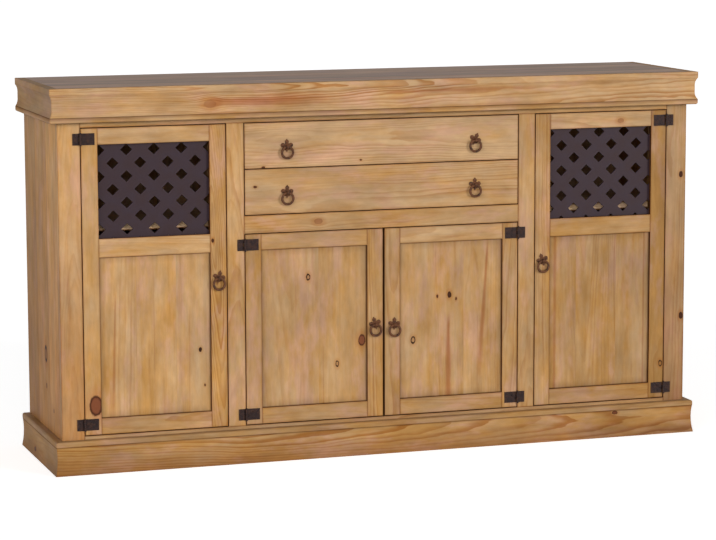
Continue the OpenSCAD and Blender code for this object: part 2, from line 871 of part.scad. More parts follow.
top_board();
cornice_front();
cornice_returns();
cornice_strips();
plinth_front();
plinth_returns();
plinth_caps();
side_panels();
outer_stiles();
mid_stiles();
top_rail();
centre_rail();
bottom_rail();
floor_board();
back_boards();
dividers();
shelves();
shelf_cleats();
drawer_runners();
hinge_frame_leaves();
hinge_pins();
door_catches();
left_door_stiles();
left_door_rails();
left_door_panel();
left_door_lattice();
left_door_hinge_leaves();
left_door_pull_plate();
left_door_ring();
right_door_stiles();
right_door_rails();
right_door_panel();
right_door_lattice();
right_door_hinge_leaves();
right_door_pull_plate();
right_door_ring();
centre_left_door_stiles();
centre_left_door_rails();
centre_left_door_panel();
centre_left_door_hinge_leaves();
centre_left_door_pull_plate();
centre_left_door_ring();
centre_right_door_stiles();
centre_right_door_rails();
centre_right_door_panel();
centre_right_door_hinge_leaves();
centre_right_door_pull_plate();
centre_right_door_ring();
upper_drawer_front();
upper_drawer_box();
upper_drawer_bottom();
upper_drawer_pull_plates();
upper_drawer_left_ring();
upper_drawer_right_ring();
lower_drawer_front();
lower_drawer_box();
lower_drawer_bottom();
lower_drawer_pull_plates();
lower_drawer_left_ring();
lower_drawer_right_ring();
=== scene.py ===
import json
import math
import random

import bmesh
import bpy
import numpy as np
from mathutils import Matrix, Vector


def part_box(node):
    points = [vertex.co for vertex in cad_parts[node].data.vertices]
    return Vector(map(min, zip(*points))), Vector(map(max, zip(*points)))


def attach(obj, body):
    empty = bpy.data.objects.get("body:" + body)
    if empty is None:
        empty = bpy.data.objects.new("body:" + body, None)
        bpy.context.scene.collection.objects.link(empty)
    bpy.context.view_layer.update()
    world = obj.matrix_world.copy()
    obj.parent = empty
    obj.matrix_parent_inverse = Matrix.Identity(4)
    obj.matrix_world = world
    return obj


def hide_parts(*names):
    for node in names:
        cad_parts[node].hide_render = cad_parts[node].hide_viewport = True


# Sizes are in millimetres up to the point where a mesh is made, which is in metres.
MM = 0.001
# Steps in a metre by which points are compared, so that those closer than 0.01 mm are one
WELD_STEPS = 1e5
# Places that differ by less than this are the same
SAME = 0.01

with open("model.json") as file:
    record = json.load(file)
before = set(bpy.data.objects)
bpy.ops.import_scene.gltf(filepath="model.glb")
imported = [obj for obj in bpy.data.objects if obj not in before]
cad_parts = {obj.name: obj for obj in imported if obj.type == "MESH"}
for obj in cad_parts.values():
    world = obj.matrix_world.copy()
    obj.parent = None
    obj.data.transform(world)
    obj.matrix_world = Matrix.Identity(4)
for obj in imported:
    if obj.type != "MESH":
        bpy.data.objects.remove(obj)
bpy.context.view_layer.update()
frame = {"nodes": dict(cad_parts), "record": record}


# Reading the frame

def box(node):
    """Lowest and highest corners of a CAD node, in millimetres."""
    lo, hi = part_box(node)
    return np.array(lo) / MM, np.array(hi) / MM


def welded(node):
    """Points of a CAD node in millimetres, without doubles, and its faces as lists of their numbers."""
    mesh = frame["nodes"][node].data
    numbers = {}
    points = []
    index = []
    for vertex in mesh.vertices:
        key = tuple(round(c * WELD_STEPS) for c in vertex.co)
        if key not in numbers:
            numbers[key] = len(points)
            points.append([c / MM for c in vertex.co])
        index.append(numbers[key])
    faces = []
    for polygon in mesh.polygons:
        face = [index[v] for v in polygon.vertices]
        if len(set(face)) == len(face):
            faces.append(face)
    return np.array(points), faces


def solids(node):
    """Corners of the box of each solid in a CAD node, from left to right and then from low to high."""
    points, faces = welded(node)
    parent = list(range(len(points)))

    def root(i):
        while parent[i] != i:
            parent[i] = parent[parent[i]]
            i = parent[i]
        return i

    for face in faces:
        for other in face[1:]:
            parent[root(other)] = root(face[0])
    groups = {}
    # Points that no face uses make groups of their own, which are too small for a solid.
    for i in range(len(points)):
        groups.setdefault(root(i), []).append(i)
    boxes = [(points[ids].min(0), points[ids].max(0)) for ids in groups.values() if len(ids) > 3]
    return sorted(boxes, key=lambda b: (round(b[0][0]), round(b[0][2]), round(b[0][1])))


# Half the carcass's width, and where its back and the front of its face frame lie
HALF_W, BACK_Y = box("side_panels")[1][:2]
FACE_Y = box("outer_stiles")[0][1]


# Boards

# What a wooden mesh stores at each of its points, for the wood materials to read:
# grain: place along the grain, across it and through the board
# pith: the growth rings' middle across and through the board, ring spacing, and slope along the board
# look: tone, warmth, seed, and how strongly the growth rings show
# skin: wear on edges, painted shade in gaps, grooves and seams, and a darkening towards the floor
# knots: place along and across the grain, radius, darkness, which is above 1 for a knot with a pale middle
# stains: place across the grain, its slope, where along the grain the stain starts, and half its width,
# which is negative where the stain runs towards higher places
KNOTS = ["knot_a", "knot_b", "knot_c", "knot_d"]
STAINS = ["stain_a", "stain_b"]
FIELDS = {"grain": 3, "pith": 4, "look": 4, "skin": 3, **dict.fromkeys(KNOTS + STAINS, 4)}
# A knot that is this far off isn't seen, and a stain that starts this far off runs all along its board
FAR = 9e4
NO_KNOT = (FAR, FAR, 1.0, 0.0)
NO_STAIN = (FAR, 0.0, 0.0, 1.0)
AXES = {"x": 0, "y": 1, "z": 2}

# What is drawn for each board: the heart's place across it, as a share of its width, and through it, the
# heart's slope, the ring spacing as a share of what is asked for, and the seed of its noise
HEART_SIDE = 0.45
HEART_DEPTH = (28, 75)
HEART_SLOPE = 0.03
RING_SPREAD = (0.8, 1.25)
SEEDS = 90

# How far wear goes from an edge, how far the thicker glaze, which is partly painted shade, goes from a
# panel's frame, and how high the darkening towards the floor goes
EDGE_FADE = 3.5
GLAZE_AND_SHADE_W = 20.0
LOW_DARKENING_H = 60.0
# Painted shade on a panel in the corner at its frame, and in the glaze beside that, which is partly painted
# shade
CORNER_SHADE = 0.75
GLAZE_AND_SHADE = 0.24
# Painted shade on a board's narrow sides in gaps, what is left of it deep in a gap, and from which share of
# the depth
SIDE_SHADE = 1.7
DEEP_SHADE = 0.3
DEEP_SHARE = 0.6
# The carcass's outer sides, to within this distance, have no such painted shade
UNSHADED_SIDE = 1.0

# Radius of the edges of waxed boards, of bare boards, of thin bare boards, and between a glued board's planks
EDGE_R = 0.8
BARE_R = 0.6
THIN_R = 0.3
PLANK_R = 0.2
# Shares of a round edge's radius: where its middle line lies on each face, and how deep it cuts the corner
ARC_MIDDLE = 0.586
ARC_SAG = 0.29
# No edge is rounded by more than this share of a board's least thickness
MOST_ROUND = 0.4
# A line where wear ends needs a stretch that is longer than this many times the wear
ROOM = 2.2


class Grain:
    """How one board's wood lies. Order names the axes along the grain, across it and through the board."""

    def __init__(self, order, lo, hi, key, tone=1.0, warm=0.0, figure=0.5, knots=(), stains=(), ring=5.0,
                 heart=None, slope=None):
        draw = random.Random(key)
        self.order = [AXES[letter] for letter in order]
        across, through = self.order[1:]
        middle = (lo + hi) / 2
        if heart is None:
            side = middle[across] + draw.uniform(-HEART_SIDE, HEART_SIDE) * (hi[across] - lo[across])
            heart = side, middle[through] + draw.choice((-1, 1)) * draw.uniform(*HEART_DEPTH)
        if slope is None:
            slope = draw.uniform(-HEART_SLOPE, HEART_SLOPE)
        self.pith = (*heart, ring * draw.uniform(*RING_SPREAD), slope)
        self.look = (tone, warm, draw.uniform(0, SEEDS), figure)
        knots = list(knots) + [NO_KNOT] * (len(KNOTS) - len(knots))
        stains = list(stains) + [NO_STAIN] * (len(STAINS) - len(stains))
        self.spots = dict(zip(KNOTS + STAINS, knots + stains))

    def fields(self, points, wear, painted_shade):
        count = len(points)
        # Darker towards the floor
        low_darkening = np.clip(1 - points[:, 2] / LOW_DARKENING_H, 0, 1)
        fields = {"grain": points[:, self.order], "skin": np.stack([wear, painted_shade, low_darkening], 1)}
        for name, values in {"pith": self.pith, "look": self.look, **self.spots}.items():
            fields[name] = np.tile(values, (count, 1))
        return fields


class Wood:
    """The mesh of one wooden piece, to which boards and mouldings are added."""

    def __init__(self):
        self.points, self.faces, self.normals = [], [], []
        self.fields = {name: [] for name in FIELDS}
        self.count = 0

    def add(self, points, faces, normals, grain, wear, painted_shade):
        """normals holds one direction for each corner of each face."""
        self.points.append(points)
        self.faces += [[v + self.count for v in face] for face in faces]
        self.normals += normals
        for name, values in grain.fields(points, wear, painted_shade).items():
            self.fields[name].append(values)
        self.count += len(points)

    def piece(self, name):
        mesh = bpy.data.meshes.new(name)
        points = np.concatenate(self.points) * MM
        mesh.from_pydata(points.tolist(), [], self.faces)
        kinds = {3: ("FLOAT_VECTOR", "vector"), 4: ("FLOAT_COLOR", "color")}
        for field, size in FIELDS.items():
            kind, socket = kinds[size]
            values = np.concatenate(self.fields[field]).astype(np.float32)
            mesh.attributes.new(field, kind, "POINT").data.foreach_set(socket, values.ravel())
        mesh.polygons.foreach_set("use_smooth", [True] * len(self.faces))
        mesh.update()
        mesh.normals_split_custom_set([tuple(n) for n in self.normals])
        return new_object(name, mesh)


def new_object(name, mesh):
    piece = bpy.data.objects.new(name, mesh)
    bpy.context.scene.collection.objects.link(piece)
    return piece


def unit(vector):
    return vector / np.linalg.norm(vector)


def stations(lo, hi, radius, inset):
    """Where a rounded board's lines lie along one axis: the round edge, then a line where its wear ends."""
    places = [lo, lo + ARC_MIDDLE * radius, lo + radius]
    if inset > radius and hi - lo > ROOM * inset:
        places.append(lo + inset)
    return places + [lo + hi - p for p in reversed(places)]


def board(wood, lo, hi, grain, radius=EDGE_R, hidden=0.0):
    """Adds a board with rounded edges. Hidden is how deep its edges stand in a groove."""
    lo, hi = np.array(lo, float), np.array(hi, float)
    radius = min(radius, min(hi - lo) * MOST_ROUND)
    lines = []
    for axis in range(3):
        through = axis == grain.order[2]
        places = stations(lo[axis], hi[axis], radius, EDGE_FADE + radius)
        if hidden and not through:
            start = lo[axis] + hidden
            extra = [start, start + EDGE_FADE, start + GLAZE_AND_SHADE_W]
            extra += [lo[axis] + hi[axis] - place for place in extra]
            places = sorted(set(places[:3] + extra + places[-3:]))
        lines.append(places)
    sizes = [len(line) for line in lines]
    number = {}
    points, directions = [], []

    def vertex(i, j, k):
        if (i, j, k) not in number:
            number[i, j, k] = len(points)
            corner = np.array([lines[0][i], lines[1][j], lines[2][k]])
            inner = np.clip(corner, lo + radius, hi - radius)
            out = unit(corner - inner)
            points.append(inner + radius * out)
            directions.append(out)
        return number[i, j, k]

    faces = []
    for axis in range(3):
        a, b = (axis + 1) % 3, (axis + 2) % 3
        for end in (0, 1):
            fixed = end * (sizes[axis] - 1)
            for i in range(sizes[a] - 1):
                for j in range(sizes[b] - 1):
                    ring = []
                    for di, dj in ((0, 0), (1, 0), (1, 1), (0, 1)):
                        place = [0, 0, 0]
                        place[axis], place[a], place[b] = fixed, i + di, j + dj
                        ring.append(vertex(*place))
                    faces.append(ring if end else ring[::-1])
    points = np.array(points)
    gaps = np.minimum(points - lo, hi - points)
    if hidden:
        for axis in grain.order[:2]:
            gaps[:, axis] -= hidden
    # The second least of a point's distances to the sides is its distance to the nearest edge.
    second = np.sort(gaps, axis=1)[:, 1]
    wear = np.clip(1 - (second - 0.5 * radius) / EDGE_FADE, 0, 1)
    # Painted shade in gaps: a board's narrow sides are darkened, less so deep in a gap
    if grain.order[2] == 1:
        deep = points[:, 1] - lo[1] > DEEP_SHARE * (hi[1] - lo[1])
    else:
        deep = gaps[:, grain.order[2]] > EDGE_FADE
    sideways = 1 - np.abs(np.array(directions)[:, grain.order[2]])
    painted_shade = np.clip(SIDE_SHADE * sideways, 0, 1) * np.where(deep, DEEP_SHADE, 1.0)
    painted_shade[np.abs(points[:, 0]) > HALF_W - UNSHADED_SIDE] = 0
    normals = [directions[v] for face in faces for v in face]
    wood.add(points, faces, normals, grain, wear, painted_shade)


def planks(wood, lo, hi, order, cuts, key, radius=PLANK_R, hidden=0.0, looks=()):
    """Adds a wide board as planks side by side, each with its look. Cuts are shares of its width."""
    across = AXES[order[1]]
    marks = [0.0, *cuts, 1.0]
    for i, (start, end) in enumerate(zip(marks, marks[1:])):
        low, high = lo.copy(), hi.copy()
        low[across] = lo[across] + start * (hi[across] - lo[across])
        high[across] = lo[across] + end * (hi[across] - lo[across])
        grain = Grain(order, low, high, key + str(i), **(looks[i] if i < len(looks) else {}))
        if hidden:
            # Only the outer planks' outer edges stand in a groove, and all their ends do.
            plank_in_groove(wood, low, high, grain, radius, hidden, first=i == 0, last=i == len(marks) - 2)
        else:
            board(wood, low, high, grain, radius)


def plank_in_groove(wood, lo, hi, grain, radius, hidden, first, last):
    """A plank of a panel, darker in the corner where it enters the frame round it: painted shade there, and a
    wider band of glaze that is partly painted shade.
    """
    before = len(wood.points)
    board(wood, lo, hi, grain, radius, hidden)
    points = wood.points[before]
    along, across = grain.order[:2]
    gap_ends = np.minimum(points[:, along] - lo[along], hi[along] - points[:, along]) - hidden
    low_side = points[:, across] - lo[across] - hidden if first else np.full(len(points), FAR)
    high_side = hi[across] - points[:, across] - hidden if last else np.full(len(points), FAR)
    gap = np.minimum(gap_ends, np.minimum(low_side, high_side))
    skin = wood.fields["skin"][-1]
    skin[:, 0] = 0
    # Painted shade in the corner at the frame, and a wider band of glaze that is partly painted shade
    in_corner = np.clip(CORNER_SHADE - gap / EDGE_FADE, 0, 1)
    skin[:, 1] = np.maximum(in_corner, GLAZE_AND_SHADE * np.clip(1 - gap / GLAZE_AND_SHADE_W, 0, 1))


# Mouldings

# Radius of a moulding's corners, and the least turn in its outline that is one. Stretches beside each other
# belong to one curve unless one is longer than this many times the other
CORNER_R = 0.7
CORNER_TURN = math.radians(24)
CURVE_RATIO = 4
# A corner takes at most this share of the stretches beside it
MOST_CORNER = 0.3
# Wear at a round corner's middle and at its ends, on a mitre, and at a run's back end
CORNER_WEAR = 0.35
CORNER_END_WEAR = 0.25
MITRE_WEAR = 0.7
BACK_WEAR = 0.42
# Where the rings of points of a run lie, as shares of its length or half length, and the wear there
FRONT_RINGS = [(-1, MITRE_WEAR), (-0.9965, 0), (-0.5, 0), (0, 0), (0.5, 0), (0.9965, 0), (1, MITRE_WEAR)]
SIDE_RINGS = [(0, MITRE_WEAR), (0.007, 0), (0.5, 0), (0.994, 0), (1, BACK_WEAR)]
# Where painted shade lies at a seam: within this distance of it, and this much of it on the face over or
# under the seam
SEAM_REACH = 0.9
UPPER_SEAM_FACE = 0.45
LOWER_SEAM_FACE = 0.05


def section(node):
    """Outline of a moulding as (distance out from the carcass, height), read at its left back end."""
    points, faces = welded(node)
    at_end = (points[:, 1] > BACK_Y - SAME) & (points[:, 0] < 0)
    edges = set()
    for face in faces:
        if all(at_end[v] for v in face):
            for a, b in zip(face, face[1:] + face[:1]):
                if (b, a) in edges:
                    edges.remove((b, a))
                else:
                    edges.add((a, b))
    following = dict(edges)
    start = min(following)
    loop = [start]
    while following[loop[-1]] != start:
        loop.append(following[loop[-1]])
    outline = [np.array([-points[v][0] - HALF_W, points[v][2]]) for v in loop]
    kept = []
    for i, point in enumerate(outline):
        before, after = point - outline[i - 1], outline[(i + 1) % len(outline)] - point
        turn = before[0] * after[1] - before[1] * after[0]
        if abs(turn) > 1e-3 * np.linalg.norm(before) * np.linalg.norm(after):
            kept.append(point)
    area = sum(a[0] * b[1] - a[1] * b[0] for a, b in zip(kept, kept[1:] + kept[:1]))
    return kept if area > 0 else kept[::-1]


def eased(outline, radius):
    """The outline with its corners rounded. Returns its points, their directions and the wear there."""
    rows = []
    for i, point in enumerate(outline):
        before = point - outline[i - 1]
        after = outline[(i + 1) % len(outline)] - point
        long_before, long_after = np.linalg.norm(before), np.linalg.norm(after)
        before, after = before / long_before, after / long_after
        left, right = np.array([before[1], -before[0]]), np.array([after[1], -after[0]])
        if before @ after < math.cos(CORNER_TURN):
            r = min(radius, long_before * MOST_CORNER, long_after * MOST_CORNER)
            wear = EDGE_FADE + r
            if long_before > ROOM * wear:
                rows.append((point - wear * before, left, 0.0))
            rows.append((point - r * before, left, CORNER_END_WEAR))
            rows.append((point + ARC_SAG * r * (after - before), unit(left + right), CORNER_WEAR))
            rows.append((point + r * after, right, CORNER_END_WEAR))
            if long_after > 3 * r:
                rows.append((point + min(wear, long_after / 2) * after, right, 0.0))
        else:
            # Beside a long flat stretch the flat's direction counts most.
            uneven = max(long_before, long_after) > CURVE_RATIO * min(long_before, long_after)
            blend = left * long_before + right * long_after if uneven else left + right
            rows.append((point, unit(blend), 0.0))
    return [np.array(column) for column in zip(*rows)]


def strips(rows):
    """Faces between each two rows of point numbers that follow one another."""
    return [[lower[i], lower[i + 1], upper[i + 1], upper[i]]
            for lower, upper in zip(rows, rows[1:]) for i in range(len(lower) - 1)]


def run(wood, outline, side, key, seams=(), **look):
    """Adds one run of a moulding: side is front, left or right. Its front ends are mitred. Seams are the
    heights at which it meets other pieces, where a line of painted shade lies."""
    out_z, directions, edges = eased(outline, CORNER_R)
    out, height = out_z[:, 0], out_z[:, 1]
    count = len(out)
    places = FRONT_RINGS if side == "front" else SIDE_RINGS
    rings, normals = [], []
    for share, _ in places:
        if side == "front":
            ring = np.stack([share * (HALF_W + out), FACE_Y - out, height], 1)
            normal = np.stack([0 * out, -directions[:, 0], directions[:, 1]], 1)
        else:
            sign = -1 if side == "left" else 1
            start = FACE_Y - out
            ring = np.stack([sign * (HALF_W + out), start + share * (BACK_Y - start), height], 1)
            normal = np.stack([sign * directions[:, 0], 0 * out, directions[:, 1]], 1)
        rings.append(ring)
        normals.append(normal)
    points = np.concatenate(rings)
    vertex_normals = np.concatenate(normals)
    wear = np.concatenate([np.maximum(edges, least) for _, least in places])
    rows = [[r * count + i % count for i in range(count + 1)] for r in range(len(places))]
    faces = strips(rows) + [rows[0][-2::-1], rows[-1][:-1]]
    if side != "left":
        faces = [face[::-1] for face in faces]
    corner_normals = [vertex_normals[v] for face in faces[:-2] for v in face]
    for face in faces[-2:]:
        a, b, c = (points[v] for v in (face[0], face[count // 3], face[2 * count // 3]))
        corner_normals += [unit(np.cross(b - a, c - a))] * count
    order = "xzy" if side == "front" else "yzx"
    grain = Grain(order, points.min(0), points.max(0), key + side, **look)
    # Painted shade along the seams where the run meets other pieces
    near = np.zeros(count)
    for seam in seams:
        near[np.abs(height - seam) < SEAM_REACH] = 1
    upper = height > (height.min() + height.max()) / 2
    beside = np.where(upper, UPPER_SEAM_FACE, LOWER_SEAM_FACE)
    painted_shade = near * (beside + (1 - beside) * np.abs(directions[:, 1]))
    wood.add(points, faces, corner_normals, grain, wear, np.tile(painted_shade, len(places)))


# Shader graphs

class Graph:
    """Adds shader nodes to a material or the world. A value is a socket, a number, a tuple or None."""

    def __init__(self, owner, shader="Principled BSDF"):
        owner.use_nodes = True
        self.owner, self.tree = owner, owner.node_tree
        self.shader = self.tree.nodes[shader]

    def put(self, socket, value):
        if isinstance(value, bpy.types.NodeSocket):
            self.tree.links.new(value, socket)
        elif value is not None:
            socket.default_value = value

    def node(self, kind, inputs=None, **settings):
        node = self.tree.nodes.new("ShaderNode" + kind)
        for name, value in settings.items():
            setattr(node, name, value)
        for key, value in (inputs or {}).items():
            self.put(node.inputs[key], value)
        return node

    def math(self, operation, a, b=None, c=None, clamp=False):
        node = self.node("Math", {0: a}, operation=operation, use_clamp=clamp)
        for i, value in ((1, b), (2, c)):
            if value is not None:
                self.put(node.inputs[i], value)
        return node.outputs[0]

    def plus(self, first, *others, clamp=False):
        for value in others[:-1]:
            first = self.math("ADD", first, value)
        return self.math("ADD", first, others[-1], clamp=clamp)

    def minus(self, a, b):
        return self.math("SUBTRACT", a, b)

    def times(self, a, b, **options):
        return self.math("MULTIPLY", a, b, **options)

    def over(self, a, b):
        return self.math("DIVIDE", a, b)

    def linear(self, value, factor, start, **options):
        """Start plus factor times the value."""
        return self.math("MULTIPLY_ADD", value, factor, start, **options)

    def swing(self, value, reach):
        """Goes from minus reach to reach as a noise value goes from 0 to 1."""
        return self.linear(value, 2 * reach, -reach)

    def scaled(self, vector, scale):
        return self.node("VectorMath", {0: vector, 1: scale}, operation="MULTIPLY").outputs[0]

    def moved(self, vector, shift):
        return self.node("VectorMath", {0: vector, 1: shift}, operation="ADD").outputs[0]

    def vector(self, x, y, z):
        return self.node("CombineXYZ", {0: x, 1: y, 2: z}).outputs[0]

    def split(self, vector):
        return self.node("SeparateXYZ", {0: vector}).outputs

    def field(self, name):
        return self.node("Attribute", attribute_type="GEOMETRY", attribute_name=name).outputs

    def noise(self, vector, scale=1.0, detail=2.0, roughness=0.5):
        inputs = {"Vector": vector, "Scale": scale, "Detail": detail, "Roughness": roughness}
        return self.node("TexNoise", inputs).outputs

    def step(self, value, low, high, start=0.0, end=1.0, smooth=True):
        """Goes from start to end as the value goes from low to high."""
        inputs = {"Value": value, "From Min": low, "From Max": high, "To Min": start, "To Max": end}
        kind = "SMOOTHSTEP" if smooth else "LINEAR"
        return self.node("MapRange", inputs, interpolation_type=kind).outputs[0]

    def mix(self, factor, a, b, blend="MIX"):
        # Colour mixing reads inputs 6 and 7 of the node and writes its output 2.
        return self.node("Mix", {0: factor, 6: a, 7: b}, data_type="RGBA", blend_type=blend).outputs[2]

    def tinted(self, factor, colour, tint):
        """The colour multiplied by a tint, as far as the factor says."""
        return self.mix(factor, colour, self.mix(1.0, colour, tint, "MULTIPLY"))

    def around(self, value, amount):
        """1 plus or minus half of amount, as a noise value goes from 0 to 1."""
        return self.linear(value, amount, 1 - amount / 2)

    def bump(self, height, distance, strength=1.0):
        return self.node("Bump", {"Height": height, "Distance": distance, "Strength": strength}).outputs[0]

    def finish(self, colour, roughness, normal, **plain):
        self.put(self.shader.inputs["Base Color"], colour)
        self.put(self.shader.inputs["Roughness"], roughness)
        self.put(self.shader.inputs["Normal"], normal)
        for name, value in plain.items():
            self.shader.inputs[name.replace("_", " ")].default_value = value
        return self.owner


def rgb(red, green, blue):
    return (red, green, blue, 1.0)


# Tints that multiply the wood's colour
LATE_WOOD = rgb(0.72, 0.54, 0.36)
STREAK = rgb(0.80, 0.64, 0.50)
STAIN = rgb(0.68, 0.43, 0.31)
HALO = rgb(0.84, 0.58, 0.36)
WEAR = rgb(0.66, 0.47, 0.30)
# Painted shade for gaps, grooves, panel corners and seams
SHADE_TINT = rgb(0.13, 0.040, 0.008)
# Tint for the darkening towards the floor
LOW_DARKENING = rgb(0.66, 0.50, 0.36)
# Colours of a knot: a sound one, a black one, its pale lines and its rim
SOUND_KNOT = rgb(0.235, 0.072, 0.030)
BLACK_KNOT = rgb(0.014, 0.005, 0.003)
KNOT_LINE = rgb(0.26, 0.095, 0.035)
KNOT_RIM = rgb(0.026, 0.008, 0.004)
# How fine each noise is along the grain and across it, as its scale for a place in millimetres
DRIFT = (0.0011, 0.007)
WAVE = (0.0065, 0.022)
WOBBLE = (0.014, 0.06)
RAGGED = (0.11, 0.15)
FIBRE = (0.022, 0.85)
FINE = (0.10, 3.4)
CLOUD = (0.0055, 0.016)
MOTTLE = (0.022, 0.055)
BAND = (0.0045, 0.075)
LONG_BAND = (0.0014, 0.024)


def board_noise(g, grain, seed):
    """Returns a function that makes noise along the grain, which differs from board to board."""
    shift = g.vector(g.times(seed, 3.17), g.times(seed, 7.31), g.times(seed, 1.93))

    def noise(fineness, detail, roughness=0.5):
        along, across = fineness
        return g.noise(g.moved(g.scaled(grain, (along, across, across)), shift), 1.0, detail, roughness)

    return noise


def bend_at_knots(g, noise, u, v):
    """Knots push the grain aside, which closes round them again. Returns the place across the bent grain, and
    how far each part of the knots shows."""
    ragged = noise(RAGGED, 3.0, 0.6)["Fac"]
    shown = dict.fromkeys(("core", "rim", "middle", "halo", "dark", "lines"), 0.0)
    for name in KNOTS:
        knot = g.field(name)
        knot_u, knot_v, knot_r = g.split(knot["Vector"])
        du = g.over(g.minus(u, knot_u), knot_r)
        off = g.minus(v, knot_v)
        dv = g.over(off, knot_r)
        du2, dv2 = g.times(du, du), g.times(dv, dv)
        reach = g.math("EXPONENT", g.times(g.linear(dv2, 2.6, du2), -0.09))
        v = g.minus(v, g.times(off, g.times(reach, 0.88)))
        # Distance from the middle in radii. Knots are long along the grain, and small ones are ragged.
        far = g.math("SQRT", g.linear(du2, 0.40, dv2))
        small = g.math("MINIMUM", g.over(4.0, knot_r), 1.0)
        far = g.plus(far, g.times(g.swing(ragged, 0.55), small))
        inside = g.times(g.step(far, 1.18, 0.92), g.step(knot["Alpha"], 0.0, 0.1, 0.35, 1.0))
        parts = {
            "core": inside,
            "rim": g.times(inside, g.step(far, 0.62, 0.98)),
            "middle": g.times(g.step(far, 0.78, 0.50), g.step(knot["Alpha"], 1.1, 1.2)),
            "halo": g.step(far, 2.6, 0.9),
        }
        for part, value in parts.items():
            shown[part] = g.math("MAXIMUM", value, shown[part])
        shown["dark"] = g.plus(g.times(inside, knot["Alpha"]), shown["dark"])
        shown["lines"] = g.plus(g.times(inside, g.math("SINE", g.times(far, 14.0))), shown["lines"])
    return v, shown


def knot_colour(g, wood, shown):
    """From red to black, with pale lines and a dark rim. A pale middle has the wood's own colour."""
    colour = g.mix(g.times(shown["dark"], 1.0, clamp=True), SOUND_KNOT, BLACK_KNOT)
    colour = g.mix(g.linear(shown["lines"], 0.08, 0.06, clamp=True), colour, KNOT_LINE)
    colour = g.mix(g.times(shown["rim"], 0.85), colour, KNOT_RIM)
    return g.mix(g.times(shown["middle"], 0.8), colour, wood)


def late_wood(g, noise, u, v, w, seed, wobble):
    """How far the dark part of each growth ring shows. The rings lie round a heart that drifts and waves."""
    pith = g.field("pith")
    heart_v, heart_w, spacing = g.split(pith["Vector"])
    drift = g.split(noise(DRIFT, 1.5)["Color"])
    wave = g.split(noise(WAVE, 2.0)["Color"])
    off_v = g.plus(g.minus(v, heart_v), g.swing(drift[0], 23.0), g.swing(wave[0], 4.5),
                   g.times(u, g.times(pith["Alpha"], 0.5)))
    off_w = g.plus(g.minus(w, heart_w), g.swing(drift[1], 15.0), g.swing(wave[1], 4.5),
                   g.times(u, pith["Alpha"]))
    radius = g.math("SQRT", g.plus(g.times(off_v, off_v), g.times(off_w, off_w)))
    rings = g.plus(g.over(radius, spacing), g.times(wobble, 0.5))
    uneven = g.noise(g.vector(g.times(rings, 0.37), seed, 0.0), detail=1.0)["Fac"]
    rings = g.linear(uneven, 2.2, rings)
    part = g.math("FRACT", rings)
    weight = g.noise(g.vector(g.times(rings, 0.61), g.plus(seed, 9.0), 0.0), detail=0.0)["Fac"]
    late = g.times(g.step(part, 0.30, 0.92), g.step(part, 1.0, 0.94))
    late = g.times(late, g.step(weight, 0.25, 0.75, 0.20, 1.0))
    return g.times(late, g.step(drift[2], 0.35, 0.65, 0.35, 1.35))


def stained(g, u, v, wobble):
    """How far the stains show. Each is a streak along the grain, which widens away from its start."""
    shown = 0.0
    for name in STAINS:
        stain = g.field(name)
        stain_v, slope, stain_u = g.split(stain["Vector"])
        past = g.times(g.minus(stain_u, u), g.math("SIGN", stain["Alpha"]))
        aside = g.math("ABSOLUTE", g.minus(v, g.minus(stain_v, g.times(past, slope))))
        half = g.math("ABSOLUTE", stain["Alpha"])
        width = g.times(half, g.step(past, 0.0, 240.0, 0.45, 1.0))
        width = g.times(width, g.around(wobble, 0.9))
        spread = g.step(g.over(aside, width), 1.3, 0.1)
        spread = g.times(spread, g.step(half, 0.0, 9.0, 0.30, 0.85, smooth=False))
        # It fades after a while, unless it runs all along its board.
        lasting = g.math("MAXIMUM", g.step(past, 460.0, 200.0), g.step(past, 5000.0, 6000.0))
        spread = g.times(g.times(spread, lasting), g.step(past, -6.0, 40.0))
        shown = g.math("MAXIMUM", spread, shown)
    return shown


